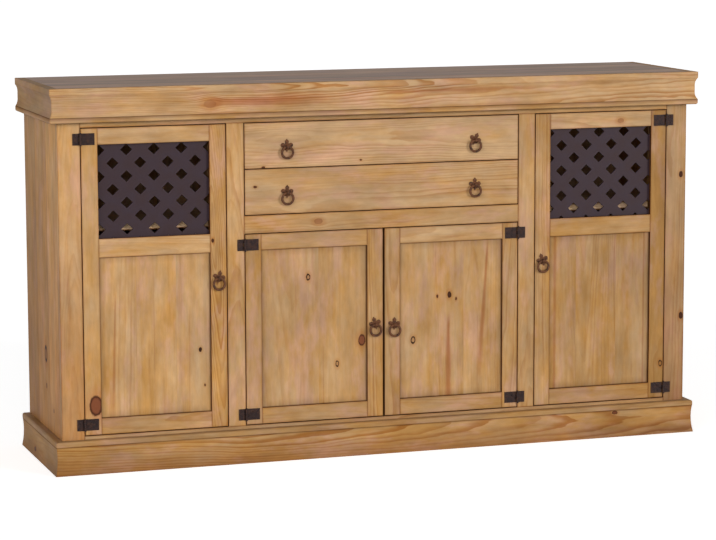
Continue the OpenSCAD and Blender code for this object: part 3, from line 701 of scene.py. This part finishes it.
def pine(name, pale, honey, pink, rough, wax, streaks, shine, band=BAND):
    """Pine with growth rings, fibres, cloudy colour, knots, stains, painted shade in gaps, grooves and seams,
    and a darkening towards the floor, laid by the mesh's own fields.
    Streaks is how far bands along the grain show, and band is how fine they are."""
    g = Graph(bpy.data.materials.new(name))
    grain = g.field("grain")["Vector"]
    u, v, w = g.split(grain)
    look = g.field("look")
    tone, warm, seed = g.split(look["Vector"])
    wear, painted_shade, low_darkening = g.split(g.field("skin")["Vector"])
    noise = board_noise(g, grain, seed)
    wobble = noise(WOBBLE, 2.0)["Fac"]
    v, knots = bend_at_knots(g, noise, u, v)
    late = late_wood(g, noise, u, v, w, seed, wobble)
    fibre = noise(FIBRE, 3.0, 0.62)["Fac"]
    fine = noise(FINE, 2.0, 0.6)["Fac"]
    cloud = g.split(noise(CLOUD, 3.0, 0.55)["Color"])
    mottle = g.split(noise(MOTTLE, 3.0, 0.6)["Color"])
    bands = g.split(noise(band, 2.5, 0.55)["Color"])

    hue = g.plus(g.linear(warm, 0.5, 0.5), g.swing(cloud[0], 1.05), g.swing(mottle[0], 0.45),
                 g.swing(bands[1], 0.35), clamp=True)
    blush = g.plus(g.times(cloud[2], 0.65), g.times(mottle[2], 0.35))
    colour = g.mix(g.step(blush, 0.47, 0.66, 0.0, 0.75), g.mix(hue, pale, honey), pink)
    colour = g.tinted(g.times(late, look["Alpha"]), colour, LATE_WOOD)
    colour = g.tinted(g.times(g.step(bands[0], 0.55, 0.75), streaks), colour, STREAK)
    value = g.times(g.around(fibre, 0.24), g.around(fine, 0.15))
    for shade, amount in ((cloud[1], 0.80), (mottle[1], 0.36), (bands[2], 0.5 * streaks)):
        value = g.times(value, g.around(shade, amount))
    value = g.times(value, tone)
    colour = g.node("VectorMath", {0: colour, "Scale": value}, operation="SCALE").outputs[0]
    colour = g.tinted(stained(g, u, v, wobble), colour, STAIN)
    colour = g.tinted(g.times(knots["halo"], 0.55), colour, HALO)
    colour = g.mix(knots["core"], colour, knot_colour(g, colour, knots))
    colour = g.tinted(g.times(wear, g.linear(wobble, 0.9, 0.1), clamp=True), colour, WEAR)
    # Painted shade in gaps, grooves, panel corners and seams
    colour = g.tinted(painted_shade, colour, SHADE_TINT)
    # Darker towards the floor
    colour = g.tinted(g.times(low_darkening, 0.8), colour, LOW_DARKENING)

    roughness = g.minus(g.linear(fibre, 0.16, rough - 0.08), g.times(late, 0.06))
    roughness = g.linear(painted_shade, 0.5, roughness, clamp=True)
    height = g.linear(fibre, 0.6, g.times(late, 0.55))
    for relief, amount in ((fine, 0.35), (knots["core"], 0.5), (cloud[2], 2.0)):
        height = g.linear(relief, amount, height)
    return g.finish(colour, roughness, g.bump(height, 0.00022), Coat_Weight=wax, Coat_Roughness=0.32,
                    Specular_IOR_Level=shine)


def in_millimetres(g):
    return g.scaled(g.node("TexCoord").outputs["Object"], (1 / MM, 1 / MM, 1 / MM))


def iron_material(name, black, rusty, wear):
    """Hand-forged iron, blackened, with a brown rust that shows where it is worn."""
    g = Graph(bpy.data.materials.new(name))
    place = in_millimetres(g)
    cells = {"Vector": place, "Scale": 0.23, "Smoothness": 0.8}
    dents = g.node("TexVoronoi", cells, feature="SMOOTH_F1").outputs[0]
    grit = g.noise(place, 1.3, detail=4.0, roughness=0.65)["Fac"]
    patch = g.noise(place, 0.14, detail=3.0, roughness=0.6)["Fac"]
    rust = g.step(g.linear(grit, 0.35, patch), wear, wear + 0.34)
    colour = g.mix(rust, black, rusty)
    colour = g.mix(g.step(grit, 0.55, 0.8, 0.0, 0.30), colour, rgb(0.054, 0.034, 0.031))
    roughness = g.plus(g.times(rust, 0.22), g.linear(grit, 0.22, 0.34))
    height = g.plus(g.times(dents, 0.8), g.times(grit, 0.5))
    return g.finish(colour, roughness, g.bump(height, 0.0004, 0.8), Metallic=0.3, Specular_IOR_Level=0.35)


def paint_material(name):
    """Aubergine-brown lacquer over the lattice's wood, with lighter specks and brush marks."""
    g = Graph(bpy.data.materials.new(name))
    place = in_millimetres(g)
    cloud = g.noise(place, 0.035, detail=3.0)["Fac"]
    slanted = {"Vector": place, "Rotation": (0.0, math.radians(43), 0.0), "Scale": (0.05, 1.0, 1.1)}
    brush = g.noise(g.node("Mapping", slanted).outputs[0], 1.0, detail=3.0)["Fac"]
    speck = g.noise(place, 1.1, detail=3.0, roughness=0.7)["Fac"]
    colour = g.mix(cloud, rgb(0.040, 0.016, 0.014), rgb(0.036, 0.021, 0.034))
    colour = g.mix(g.step(speck, 0.62, 0.78, 0.0, 0.30), colour, rgb(0.090, 0.050, 0.038))
    roughness = g.linear(brush, 0.18, 0.42)
    height = g.plus(g.times(brush, 0.7), g.times(speck, 0.25))
    return g.finish(colour, roughness, g.bump(height, 0.0002, 0.6), Specular_IOR_Level=0.3)


def catch_material(name):
    """Brown moulded plastic with a fine grain and scuffs."""
    g = Graph(bpy.data.materials.new(name))
    place = in_millimetres(g)
    grit = g.noise(place, 2.2, detail=3.0, roughness=0.6)["Fac"]
    scuff = g.noise(g.scaled(place, (0.4, 0.05, 0.4)), 1.0, detail=4.0, roughness=0.7)["Fac"]
    colour = g.mix(g.step(scuff, 0.5, 0.8), rgb(0.085, 0.046, 0.026), rgb(0.14, 0.085, 0.052))
    roughness = g.linear(grit, 0.25, 0.36)
    return g.finish(colour, roughness, g.bump(grit, 0.00012, 0.7))


WAXED = pine("waxed_pine", rgb(0.556, 0.355, 0.184), rgb(0.532, 0.276, 0.083), rgb(0.590, 0.337, 0.214),
             rough=0.46, wax=0.0, streaks=0.40, shine=0.10)
# The top's colours are darker and greyer than the front's: partly its own worn waxed finish, partly painted
# shade and a painted grey reflection on the top.
TOP_WITH_PAINTED_SHADE = pine("waxed_top_painted_shade", rgb(0.60, 0.37, 0.23), rgb(0.49, 0.26, 0.14), rgb(0.54, 0.31, 0.27),
              rough=0.40, wax=0.20, streaks=2.4, shine=0.28, band=LONG_BAND)
BARE = pine("bare_pine", rgb(0.56, 0.40, 0.24), rgb(0.54, 0.33, 0.15), rgb(0.58, 0.40, 0.27),
            rough=0.62, wax=0.0, streaks=0.4, shine=0.10)
IRON = iron_material("blackened_iron", rgb(0.024, 0.011, 0.010), rgb(0.066, 0.027, 0.016), 0.58)
RUSTY = iron_material("rusty_iron", rgb(0.046, 0.021, 0.013), rgb(0.170, 0.065, 0.026), 0.44)
PAINT = paint_material("lattice_paint")
CATCH = catch_material("catch_plastic")


# Pieces

def body_of(node):
    for body, members in frame["record"]["behaviour"]["bodies"].items():
        if node in members:
            return body


def place(piece, material, slot, *nodes):
    """Gives a piece its material; the slot is not used. It stands for the nodes and rides on their body."""
    piece.data.materials.append(material)
    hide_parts(*nodes)
    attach(piece, body_of(nodes[0]))


def waxed(wood, name, *nodes):
    place(wood.piece(name), WAXED, "waxed_pine", *nodes)


def bare(wood, name, *nodes):
    place(wood.piece(name), BARE, "pine_inside", *nodes)


def topped(wood, name, *nodes):
    place(wood.piece(name), TOP_WITH_PAINTED_SHADE, "waxed_pine", *nodes)


def toned(tone, warm=0.0, **more):
    """How one board looks: its tone and warmth, and what else Grain takes."""
    return dict(tone=tone, warm=warm, **more)


def boards(name, node, order, looks=(), finish=waxed, radius=EDGE_R):
    """A piece with one board for each solid of a node. Looks go from left to right and from low to high."""
    wood = Wood()
    for i, (lo, hi) in enumerate(solids(node)):
        grain = Grain(order, lo, hi, node + str(i), **(looks[i] if i < len(looks) else {}))
        board(wood, lo, hi, grain, radius)
    finish(wood, name, node)


def wide_boards(name, node, order, cuts, key, finish=bare, **options):
    """A piece whose boards are each glued from planks."""
    wood = Wood()
    for i, (lo, hi) in enumerate(solids(node)):
        planks(wood, lo, hi, order, cuts, key.format(i), **options)
    finish(wood, name, node)


def single(wood, order, lo, hi, key):
    """Adds one plain board, for the insides of the cupboards and drawers."""
    board(wood, lo, hi, Grain(order, np.array(lo), np.array(hi), key), BARE_R)


# In the looks below, knots and stains are where the photograph shows them, with the values of FIELDS.
def face_frame():
    left = toned(1.10, -0.4, figure=0.25)
    # The right stile's stain along its right edge is painted shade on its rounded corner.
    right = toned(0.79, -0.7, knots=[(718, 863, 5.5, 0.8), (325, 868, 6.0, 0.8)], stains=[(882, 0.0, FAR, 6)])
    boards("face_outer_stiles", "outer_stiles", "zxy", [left, right])
    left = toned(0.97, 0.1, slope=0.045, figure=0.4)
    right = toned(0.90, -0.1, slope=-0.04, figure=0.3)
    boards("face_mid_stiles", "mid_stiles", "zxy", [left, right])
    knotty = toned(0.89, 0.15, knots=[(-181, 632, 7.0, 0.03)])
    boards("face_top_rail", "top_rail", "xzy", [toned(0.93)])
    boards("face_centre_rail", "centre_rail", "xzy", [knotty])
    boards("face_bottom_rail", "bottom_rail", "xzy", [toned(0.82, -0.4)])


def side_panels():
    left = [toned(1.28, 0.5, knots=[(150, -97, 3.5, 0.5)], stains=[(-165, 0.0, 170, 3)]),
            toned(1.08, 0.6, knots=[(288, -10, 14.0, 1.5), (203, -12, 4.5, 0.6)]), toned(0.87, 0.5)]
    right = [toned(1.28, 0.5), toned(1.08, 0.6), toned(0.87, 0.5)]
    wood = Wood()
    for i, (lo, hi) in enumerate(solids("side_panels")):
        planks(wood, lo, hi, "zyx", (0.31, 0.66), "side" + str(i), looks=(left, right)[i])
    waxed(wood, "panels_side", "side_panels")


def top_board():
    # The top's planks are toned darker and greyer, partly as painted shade on the top.
    looks = [toned(0.98, -0.5), toned(0.74, -0.7), toned(0.92, -0.5), toned(0.80, -0.6)]
    wide_boards("top_planks", "top_board", "xyz", (0.24, 0.52, 0.77), "top", topped, looks=looks)


def ends_z(shape):
    """Lowest and highest place of a moulding's outline."""
    heights = [float(point[1]) for point in shape]
    return min(heights), max(heights)


def cornice():
    wood = Wood()
    shape = section("cornice_returns")
    seams = ends_z(shape)[:1]
    # These two stains along the upper part of the cove are partly stain in the wood and partly painted shade
    # under the top fillet.
    run(wood, shape, "front", "cornice", seams, tone=1.01, warm=-0.5, figure=0.95, ring=5.5,
        heart=(986, -246), slope=0.03, knots=[(-478, 951, 10.0, 0.0)],
        stains=[(955, -0.01, -490, -18), (968, -0.006, -15, -8)])
    run(wood, shape, "left", "cornice", seams, tone=0.70)
    run(wood, shape, "right", "cornice", seams, tone=0.90)
    waxed(wood, "cornice_boards", "cornice_front", "cornice_returns")


def even_moulding(name, node, key, seams, tone):
    """A moulding of three runs that look alike. Seams says which of its lower and upper ends are seams."""
    wood = Wood()
    shape = section(node)
    for side in ("front", "left", "right"):
        run(wood, shape, side, key, ends_z(shape)[seams], tone=tone, warm=0.1)
    waxed(wood, name, node)


def plinth():
    wood = Wood()
    shape = section("plinth_returns")
    seams = ends_z(shape)[1:]
    run(wood, shape, "front", "plinth", seams, tone=0.80, warm=0.6, figure=1.3, ring=6.5, heart=(76, -246),
        slope=0.05, knots=[(664, 68, 5.0, 0.4)])
    run(wood, shape, "left", "plinth", seams, tone=0.75, warm=0.5, figure=0.8, knots=[(60, 20, 6.0, 0.5)])
    run(wood, shape, "right", "plinth", seams, tone=0.80, warm=0.5, figure=0.8)
    waxed(wood, "plinth_boards", "plinth_front", "plinth_returns")


def inside():
    wide_boards("inside_floor", "floor_board", "xyz", (0.3, 0.62), "floor")
    # The back boards are made lighter to make up for the little light that reaches the back: painted light.
    back_looks_painted_light = [toned(1.1, ring=6.0)] * len(solids("back_boards"))
    boards("back_planks", "back_boards", "zxy", back_looks_painted_light, bare, BARE_R)
    wide_boards("inside_dividers", "dividers", "zyx", (0.35, 0.7), "divider{}")
    # The shelves' narrow front strip is made much lighter: painted light on the shelf's front edge, which
    # shows through the lattice.
    shelf_looks_painted_light = [toned(1.75, -0.6, figure=0.2), toned(1.1), toned(1.1)]
    wide_boards("inside_shelves", "shelves", "xyz", (0.035, 0.5), "shelf{}", radius=0.5, looks=shelf_looks_painted_light)
    boards("inside_cleats", "shelf_cleats", "yzx", finish=bare)


# A runner's thickness, and the width of the guide that stands on it
RUNNER_T = 18.0
GUIDE_W = 16.1


def drawer_runners():
    wood = Wood()
    for i, (lo, hi) in enumerate(solids("drawer_runners")):
        step = lo[2] + RUNNER_T
        single(wood, "yzx", lo, (hi[0], hi[1], step), "runner" + str(i))
        left, right = (lo[0], lo[0] + GUIDE_W) if lo[0] < 0 else (hi[0] - GUIDE_W, hi[0])
        single(wood, "yzx", (left, lo[1], step), (right, hi[1], hi[2]), "guide" + str(i))
    bare(wood, "inside_runners", "drawer_runners")


# How deep a door's panel stands in its frame. Each door's looks: stiles, rails, and its panel's planks, which
# meet at the cuts.
GROOVE = 8.0
DOORS = {
    "left_door": dict(
        stiles=[toned(1.0, knots=[(176, -787, 16.5, 0.12)]),
                toned(0.95, 0.5, figure=0.9, slope=0.06, knots=[(593, -470, 3.4, 0.75)])],
        rails=[toned(0.88, 0.3), toned(1.01, -0.4), toned(1.0, -0.1)],
        panel=[toned(1.0, 0.15, stains=[(-730, 0.03, 467, 5), (-717, 0.03, 520, 1.5)]),
               toned(1.02, 0.2, stains=[(-640, 0.05, FAR, 9), (-628, 0.0, 537, 1.5)]),
               toned(1.0, knots=[(306.6, -504.6, 4.0, 0.95), (212, -493, 2.2, 0.6)],
                     stains=[(-532, 0.01, 431, 1.5)])],
        cuts=(0.34, 0.68)),
    "right_door": dict(
        stiles=[toned(0.87, 0.2), toned(0.69, 1.1, knots=[(194.6, 808, 5.5, 1.5)])],
        rails=[toned(0.77, 0.4), toned(0.78, 0.35), toned(0.97, -1.0, knots=[(682, 871, 6.0, 0.03)])],
        # The full-length stains of the first and third planks lie near the panel's left and right edges
        # beside the frame: painted shade there.
        panel=[toned(0.78, 0.6, stains=[(494, 0.0, FAR, 5)]),
               toned(0.79, 0.4, figure=0.5, heart=(590, -130), slope=0.04),
               toned(0.79, 0.2, stains=[(757, 0.0, FAR, 3)])],
        cuts=(0.28, 0.66)),
    "centre_left_door": dict(
        stiles=[toned(0.83, 0.4), toned(0.87, 0.4)],
        rails=[toned(0.83, 0.4), toned(0.85, 0.1)],
        panel=[toned(0.89, 0.2, knots=[(484, -208.6, 5.6, 1.5)]),
               toned(0.90, 0.2, knots=[(247, -129, 5.0, 1.5), (307, -59.5, 9.5, 0.12)],
                     stains=[(-168, 0.0, 337, 2)])],
        cuts=(0.54,)),
    "centre_right_door": dict(
        stiles=[toned(0.91, 0.1), toned(0.85, 0.05)],
        rails=[toned(0.78, 0.3), toned(0.90, -0.2)],
        panel=[toned(0.90, 0.1, stains=[(186, 0.0, 370, 12)],
                     knots=[(417, 188.5, 5.5, 0.85), (414, 154, 3.0, 0.6), (405, 207, 2.8, 0.6),
                            (299, 85, 6.4, 1.5)]),
               toned(0.89, 0.1, stains=[(298, 0.064, FAR, 0.1), (298.5, 0.066, 560, 8)],
                     knots=[(196, 344, 4.0, 0.9)])],
        cuts=(0.62,)),
}


def door_woodwork(door, stiles, rails, panel, cuts):
    boards(door + "_frame_stiles", door + "_stiles", "zxy", stiles)
    boards(door + "_frame_rails", door + "_rails", "xzy", rails)
    looks = [{"figure": 0.20, "ring": 7.0, **look} for look in panel]
    wide_boards(door + "_panel_planks", door + "_panel", "zxy", cuts, door, waxed,
                radius=0.12, hidden=GROOVE, looks=looks)


# Thickness of a drawer's sides and back
SIDE_T = 12.0
DRAWERS = {
    "upper_drawer": toned(0.95, -0.8, figure=0.6, slope=0.008,
                          knots=[(-331, 779, 3.0, 0.6), (-63, 790, 2.4, 0.5)]),
    "lower_drawer": toned(0.92, -0.3, figure=0.6, slope=-0.01, knots=[(-354, 729, 3.0, 0.6)]),
}


def drawer_woodwork(drawer, look):
    boards(drawer + "_face", drawer + "_front", "xzy", [look])
    lo, hi = solids(drawer + "_box")[0]
    wood = Wood()
    for i, x in enumerate((lo[0], hi[0] - SIDE_T)):
        single(wood, "yzx", (x, lo[1], lo[2]), (x + SIDE_T, hi[1], hi[2]), drawer + "side" + str(i))
    low, high = (lo[0] + SIDE_T, hi[1] - SIDE_T, lo[2]), (hi[0] - SIDE_T, hi[1], hi[2])
    single(wood, "xzy", low, high, drawer + "back")
    bare(wood, drawer + "_sides", drawer + "_box")
    boards(drawer + "_base", drawer + "_bottom", "xyz", [toned(1.0, ring=7.0)], bare, THIN_R)


face_frame()
side_panels()
top_board()
cornice()
even_moulding("cornice_strip_runs", "cornice_strips", "strip", slice(0, 2), 0.91)
plinth()
even_moulding("plinth_cap_runs", "plinth_caps", "cap", slice(0, 1), 0.735)
inside()
drawer_runners()
for door, looks in DOORS.items():
    door_woodwork(door, **looks)
for drawer, look in DRAWERS.items():
    drawer_woodwork(drawer, look)


# Bevelled copies

# Edges that turn by more than this are rounded, and faces that turn by less are shaded as one
BEVEL_TURN = math.radians(30)
SMOOTH_TURN = math.radians(38)
STUD_TURN = math.radians(40)
# Faces that turn by less than this are flat, and are joined before the edges are rounded
FLAT_TURN = math.radians(1)


def smoothed(mesh, work, turn):
    """Writes the work back to its mesh, shaded smooth apart from the edges that turn by more."""
    bmesh.ops.recalc_face_normals(work, faces=work.faces)
    for face in work.faces:
        face.smooth = True
    work.to_mesh(mesh)
    work.free()
    mesh.set_sharp_from_angle(angle=turn)


def new_mesh(name, points, faces):
    """A mesh from points in millimetres, and the bmesh to work on it."""
    mesh = bpy.data.meshes.new(name)
    mesh.from_pydata((np.array(points) * MM).tolist(), [], faces)
    work = bmesh.new()
    work.from_mesh(mesh)
    return mesh, work


def bevelled(node, name, width):
    """A copy of a CAD node with its sharp edges rounded."""
    mesh, work = new_mesh(name, *welded(node))
    bmesh.ops.dissolve_limit(work, angle_limit=FLAT_TURN, verts=work.verts, edges=work.edges)
    sharp = [edge for edge in work.edges if len(edge.link_faces) == 2 and edge.calc_face_angle() > BEVEL_TURN]
    bmesh.ops.bevel(work, geom=sharp, offset=width * MM, segments=2, profile=0.5, affect="EDGES",
                    clamp_overlap=True)
    smoothed(mesh, work, SMOOTH_TURN)
    piece = new_object(name, mesh)
    piece.modifiers.new("flat faces", "WEIGHTED_NORMAL").keep_sharp = True
    return piece


def dressed(node, name, width, material, slot="iron"):
    place(bevelled(node, name, width), material, slot, node)


for door in ("left_door", "right_door"):
    dressed(door + "_lattice", door + "_lattice_slats", 0.7, PAINT, "dark_lattice")
for door in DOORS:
    dressed(door + "_hinge_leaves", door + "_hinge_plates", 0.3, IRON)
    dressed(door + "_pull_plate", door + "_rosette", 0.5, RUSTY)
for drawer in DRAWERS:
    dressed(drawer + "_pull_plates", drawer + "_rosettes", 0.5, RUSTY)
dressed("hinge_frame_leaves", "frame_hinge_plates", 0.3, IRON)
dressed("hinge_pins", "turned_hinge_pins", 0.4, IRON)
dressed("door_catches", "moulded_catches", 0.6, CATCH, "catch")
for node in frame["nodes"]:
    if node.endswith("_ring"):
        dressed(node, node + "_wire", 0.2, RUSTY)


# Screws, nails and relief

# Half the width of a screw's slot, as a share of its radius. Each half of its head has this many rings, and
# each ring this many points.
SLOT_SHARE = 0.17
SCREW_RINGS = 4
SCREW_SIDES = 12


def levels(radius, height, count):
    """Radius and rise of each ring of a low dome, from its rim up."""
    angles = [0.5 * math.pi * k / count for k in range(count)]
    return [(radius * math.cos(angle), height * math.sin(angle)) for angle in angles]


class Studs:
    """A mesh of small heads on one body, each facing the front."""

    def __init__(self):
        self.points, self.faces = [], []

    def dome(self, x, y, z, radius, height, rounds=5, around=28):
        """A low dome whose rim lies at y."""
        start = len(self.points)
        for r, rise in levels(radius, height, rounds):
            for i in range(around):
                turn = 2 * math.pi * i / around
                self.points.append((x + r * math.cos(turn), y - rise, z + r * math.sin(turn)))
        rows = [[start + k * around + i % around for i in range(around + 1)] for k in range(rounds)]
        tip = len(self.points)
        self.points.append((x, y - height, z))
        self.faces += strips(rows) + [(a, b, tip) for a, b in zip(rows[-1], rows[-1][1:])]

    def screw(self, x, y, z, radius, height, turn):
        """A slotted head: two halves of a dome on either side of a slot."""
        cos, sin = math.cos(turn), math.sin(turn)
        for side in (1, -1):
            start = len(self.points)
            for r, rise in levels(radius, height, SCREW_RINGS):
                low = math.asin(min(SLOT_SHARE * radius / r, 1.0))
                for i in range(SCREW_SIDES):
                    a = low + (math.pi - 2 * low) * i / (SCREW_SIDES - 1)
                    p, q = r * math.cos(a), side * r * math.sin(a)
                    self.points.append((x + p * cos - q * sin, y - rise, z + p * sin + q * cos))
            rows = [[start + k * SCREW_SIDES + i for i in range(SCREW_SIDES)] for k in range(SCREW_RINGS)]
            wall = [row[0] for row in rows] + [row[-1] for row in reversed(rows)]
            faces = strips(rows) + [rows[-1], wall[::-1]]
            self.faces += faces if side > 0 else [face[::-1] for face in faces]

    def piece(self, name, material, body):
        mesh, work = new_mesh(name, self.points, self.faces)
        smoothed(mesh, work, STUD_TURN)
        mesh.materials.append(material)
        piece = new_object(name, mesh)
        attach(piece, body)


SCREW_R = 2.3
SCREW_RISE = 0.9
# Width of a hinge's knuckles, between the two leaves
KNUCKLE_W = 9.0
# Places of the screws, as shares of a leaf's width out from its knuckles, and of its height
FRAME_SCREWS = [(0.55, 0.24), (0.55, 0.76)]
DOOR_SCREWS = [(0.40, 0.24), (0.40, 0.76), (0.78, 0.5)]
screw_turns = random.Random("screws")


def leaf_screws(name, leaves, spots, body):
    """Screw heads on the hinge leaves of one node. Each head has a turn of its own."""
    door_leaf = welded("left_door_hinge_leaves")[0]
    leaf_y = min(point[1] for point in door_leaf if point[0] > door_leaf[:, 0].max() - SAME)
    pins = [(lo[0] + hi[0]) / 2 for lo, hi in solids("hinge_pins")]
    studs = Studs()
    for lo, hi in solids(leaves):
        pin_x = min(pins, key=lambda x: abs(x - (lo[0] + hi[0]) / 2))
        outer = lo[0] if abs(lo[0] - pin_x) > abs(hi[0] - pin_x) else hi[0]
        inner = pin_x + math.copysign(KNUCKLE_W / 2, outer - pin_x)
        for share, height in spots:
            x, z = inner + share * (outer - inner), lo[2] + height * (hi[2] - lo[2])
            studs.screw(x, leaf_y, z, SCREW_R, SCREW_RISE, screw_turns.uniform(0, math.pi))
    studs.piece(name, IRON, body)


leaf_screws("frame_hinge_screws", "hinge_frame_leaves", FRAME_SCREWS, "cabinet")
for door in DOORS:
    leaf_screws(door + "_hinge_screws", door + "_hinge_leaves", DOOR_SCREWS, door)

# Lobes and bud of a rosette, from its eye: (x, z, radius). They stand on its plate, sunk into it a little.
LOBES = [(-11.0, 4.0, 4.8), (11.0, 4.0, 4.8), (0.0, 13.2, 4.2)]
ROSETTE_T = 2.2
SUNK = 0.1
LOBE_RISE = 1.3
BOSS_R = 8.4
BOSS_RISE = 1.8
# A nail head stands in the middle of each side lobe.
NAIL_R = 1.5
NAIL_RISE = 0.8
NAIL_OUT = 1.1
# No point of a rosette is further from its eye than this, across or up
ROSETTE_REACH = 30


def relief(ring, plate, studs):
    """Domes on the lobes and a nail head in each side lobe, turned as the rosette is."""
    lo, hi = box(ring)
    x, z = (lo[0] + hi[0]) / 2, hi[2] - (hi[1] - lo[1]) / 2
    y = FACE_Y - ROSETTE_T + SUNK
    points = welded(plate)[0]
    near = points[np.abs(points[:, [0, 2]] - (x, z)).max(1) < ROSETTE_REACH]
    crown = max(near, key=lambda point: math.hypot(point[0] - x, point[2] - z))
    reach = math.hypot(crown[0] - x, crown[2] - z)
    sin, cos = (crown[0] - x) / reach, (crown[2] - z) / reach
    for side, rise, radius in LOBES:
        lobe_x, lobe_z = x + side * cos + rise * sin, z - side * sin + rise * cos
        studs.dome(lobe_x, y, lobe_z, radius, LOBE_RISE)
        if side:
            studs.dome(lobe_x, y - NAIL_OUT, lobe_z, NAIL_R, NAIL_RISE, rounds=4, around=16)
    studs.dome(x, y, z, BOSS_R, BOSS_RISE)


for door in DOORS:
    raised = Studs()
    relief(door + "_ring", door + "_pull_plate", raised)
    raised.piece(door + "_rosette_relief", RUSTY, door)
for drawer in DRAWERS:
    raised = Studs()
    for side in ("left", "right"):
        relief(drawer + "_" + side + "_ring", drawer + "_pull_plates", raised)
    raised.piece(drawer + "_rosette_relief", RUSTY, drawer)


# Floor, light and camera

def stage_floor():
    mesh = bpy.data.meshes.new("stage_floor")
    far = 60.0
    mesh.from_pydata([(-far, -far, 0), (far, -far, 0), (far, far, 0), (-far, far, 0)], [], [(0, 1, 2, 3)])
    floor = new_object("stage_floor", mesh)
    g = Graph(bpy.data.materials.new("pale_floor"))
    cloud = g.noise(g.node("TexCoord").outputs["Object"], 1.7, detail=3.0)["Fac"]
    colour = g.mix(cloud, rgb(0.80, 0.80, 0.80), rgb(0.84, 0.84, 0.84))
    g.put(g.shader.inputs["Emission Color"], rgb(1.0, 1.0, 1.0))
    mesh.materials.append(g.finish(colour, 0.9, None, Emission_Strength=0.72))
    floor.visible_diffuse = False
    floor.visible_glossy = False


def sun(name, strength, azimuth, elevation, size):
    """A soft distant light. Angles are in degrees. Azimuth 0 is straight in front, and grows to the right."""
    light = bpy.data.lights.new(name, "SUN")
    light.energy = strength
    light.angle = math.radians(size)
    lamp = bpy.data.objects.new(name, light)
    az, el = math.radians(azimuth), math.radians(elevation)
    towards = Vector((math.sin(az) * math.cos(el), -math.cos(az) * math.cos(el), math.sin(el)))
    lamp.rotation_euler = towards.to_track_quat("Z", "Y").to_euler()
    bpy.context.scene.collection.objects.link(lamp)


def world_light(horizon, zenith):
    """Even light from all round, weaker from above."""
    world = bpy.data.worlds.new("studio")
    bpy.context.scene.world = world
    g = Graph(world, "Background")
    upwards = g.split(g.node("TexCoord").outputs["Generated"])[2]
    g.put(g.shader.inputs["Color"], rgb(1.0, 1.0, 1.0))
    g.put(g.shader.inputs["Strength"], g.step(upwards, 0.0, 0.9, horizon, zenith, smooth=False))


# The photograph's camera, from the fit to its edges: turns in degrees, place in metres, lens in millimetres
YAW_PITCH_ROLL = (18.367, 8.124, 0.172)
CAMERA_PLACE = (-2.3584, -7.0818, 1.5327)
LENS = 139.0


def camera():
    yaw, pitch, roll = (math.radians(angle) for angle in YAW_PITCH_ROLL)
    forward = Vector((math.sin(yaw) * math.cos(pitch), math.cos(yaw) * math.cos(pitch), -math.sin(pitch)))
    level = Vector((math.cos(yaw), -math.sin(yaw), 0.0))
    down = forward.cross(level)
    right = math.cos(roll) * level + math.sin(roll) * down
    up = right.cross(forward)
    data = bpy.data.cameras.new("camera")
    data.sensor_width = 36.0
    data.lens = LENS
    data.clip_end = 200.0
    eye = bpy.data.objects.new("camera", data)
    turn = Matrix((right, up, -forward)).transposed().to_4x4()
    eye.matrix_world = Matrix.Translation(CAMERA_PLACE) @ turn
    bpy.context.scene.collection.objects.link(eye)
    bpy.context.scene.camera = eye


stage_floor()
sun("key", 1.28, 38, 11, 12)
sun("fill", 1.36, -50, 8, 50)
sun("front", 0.40, -14, 25, 20)
world_light(0.44, 0.12)
camera()
bpy.context.scene.view_settings.view_transform = "Standard"
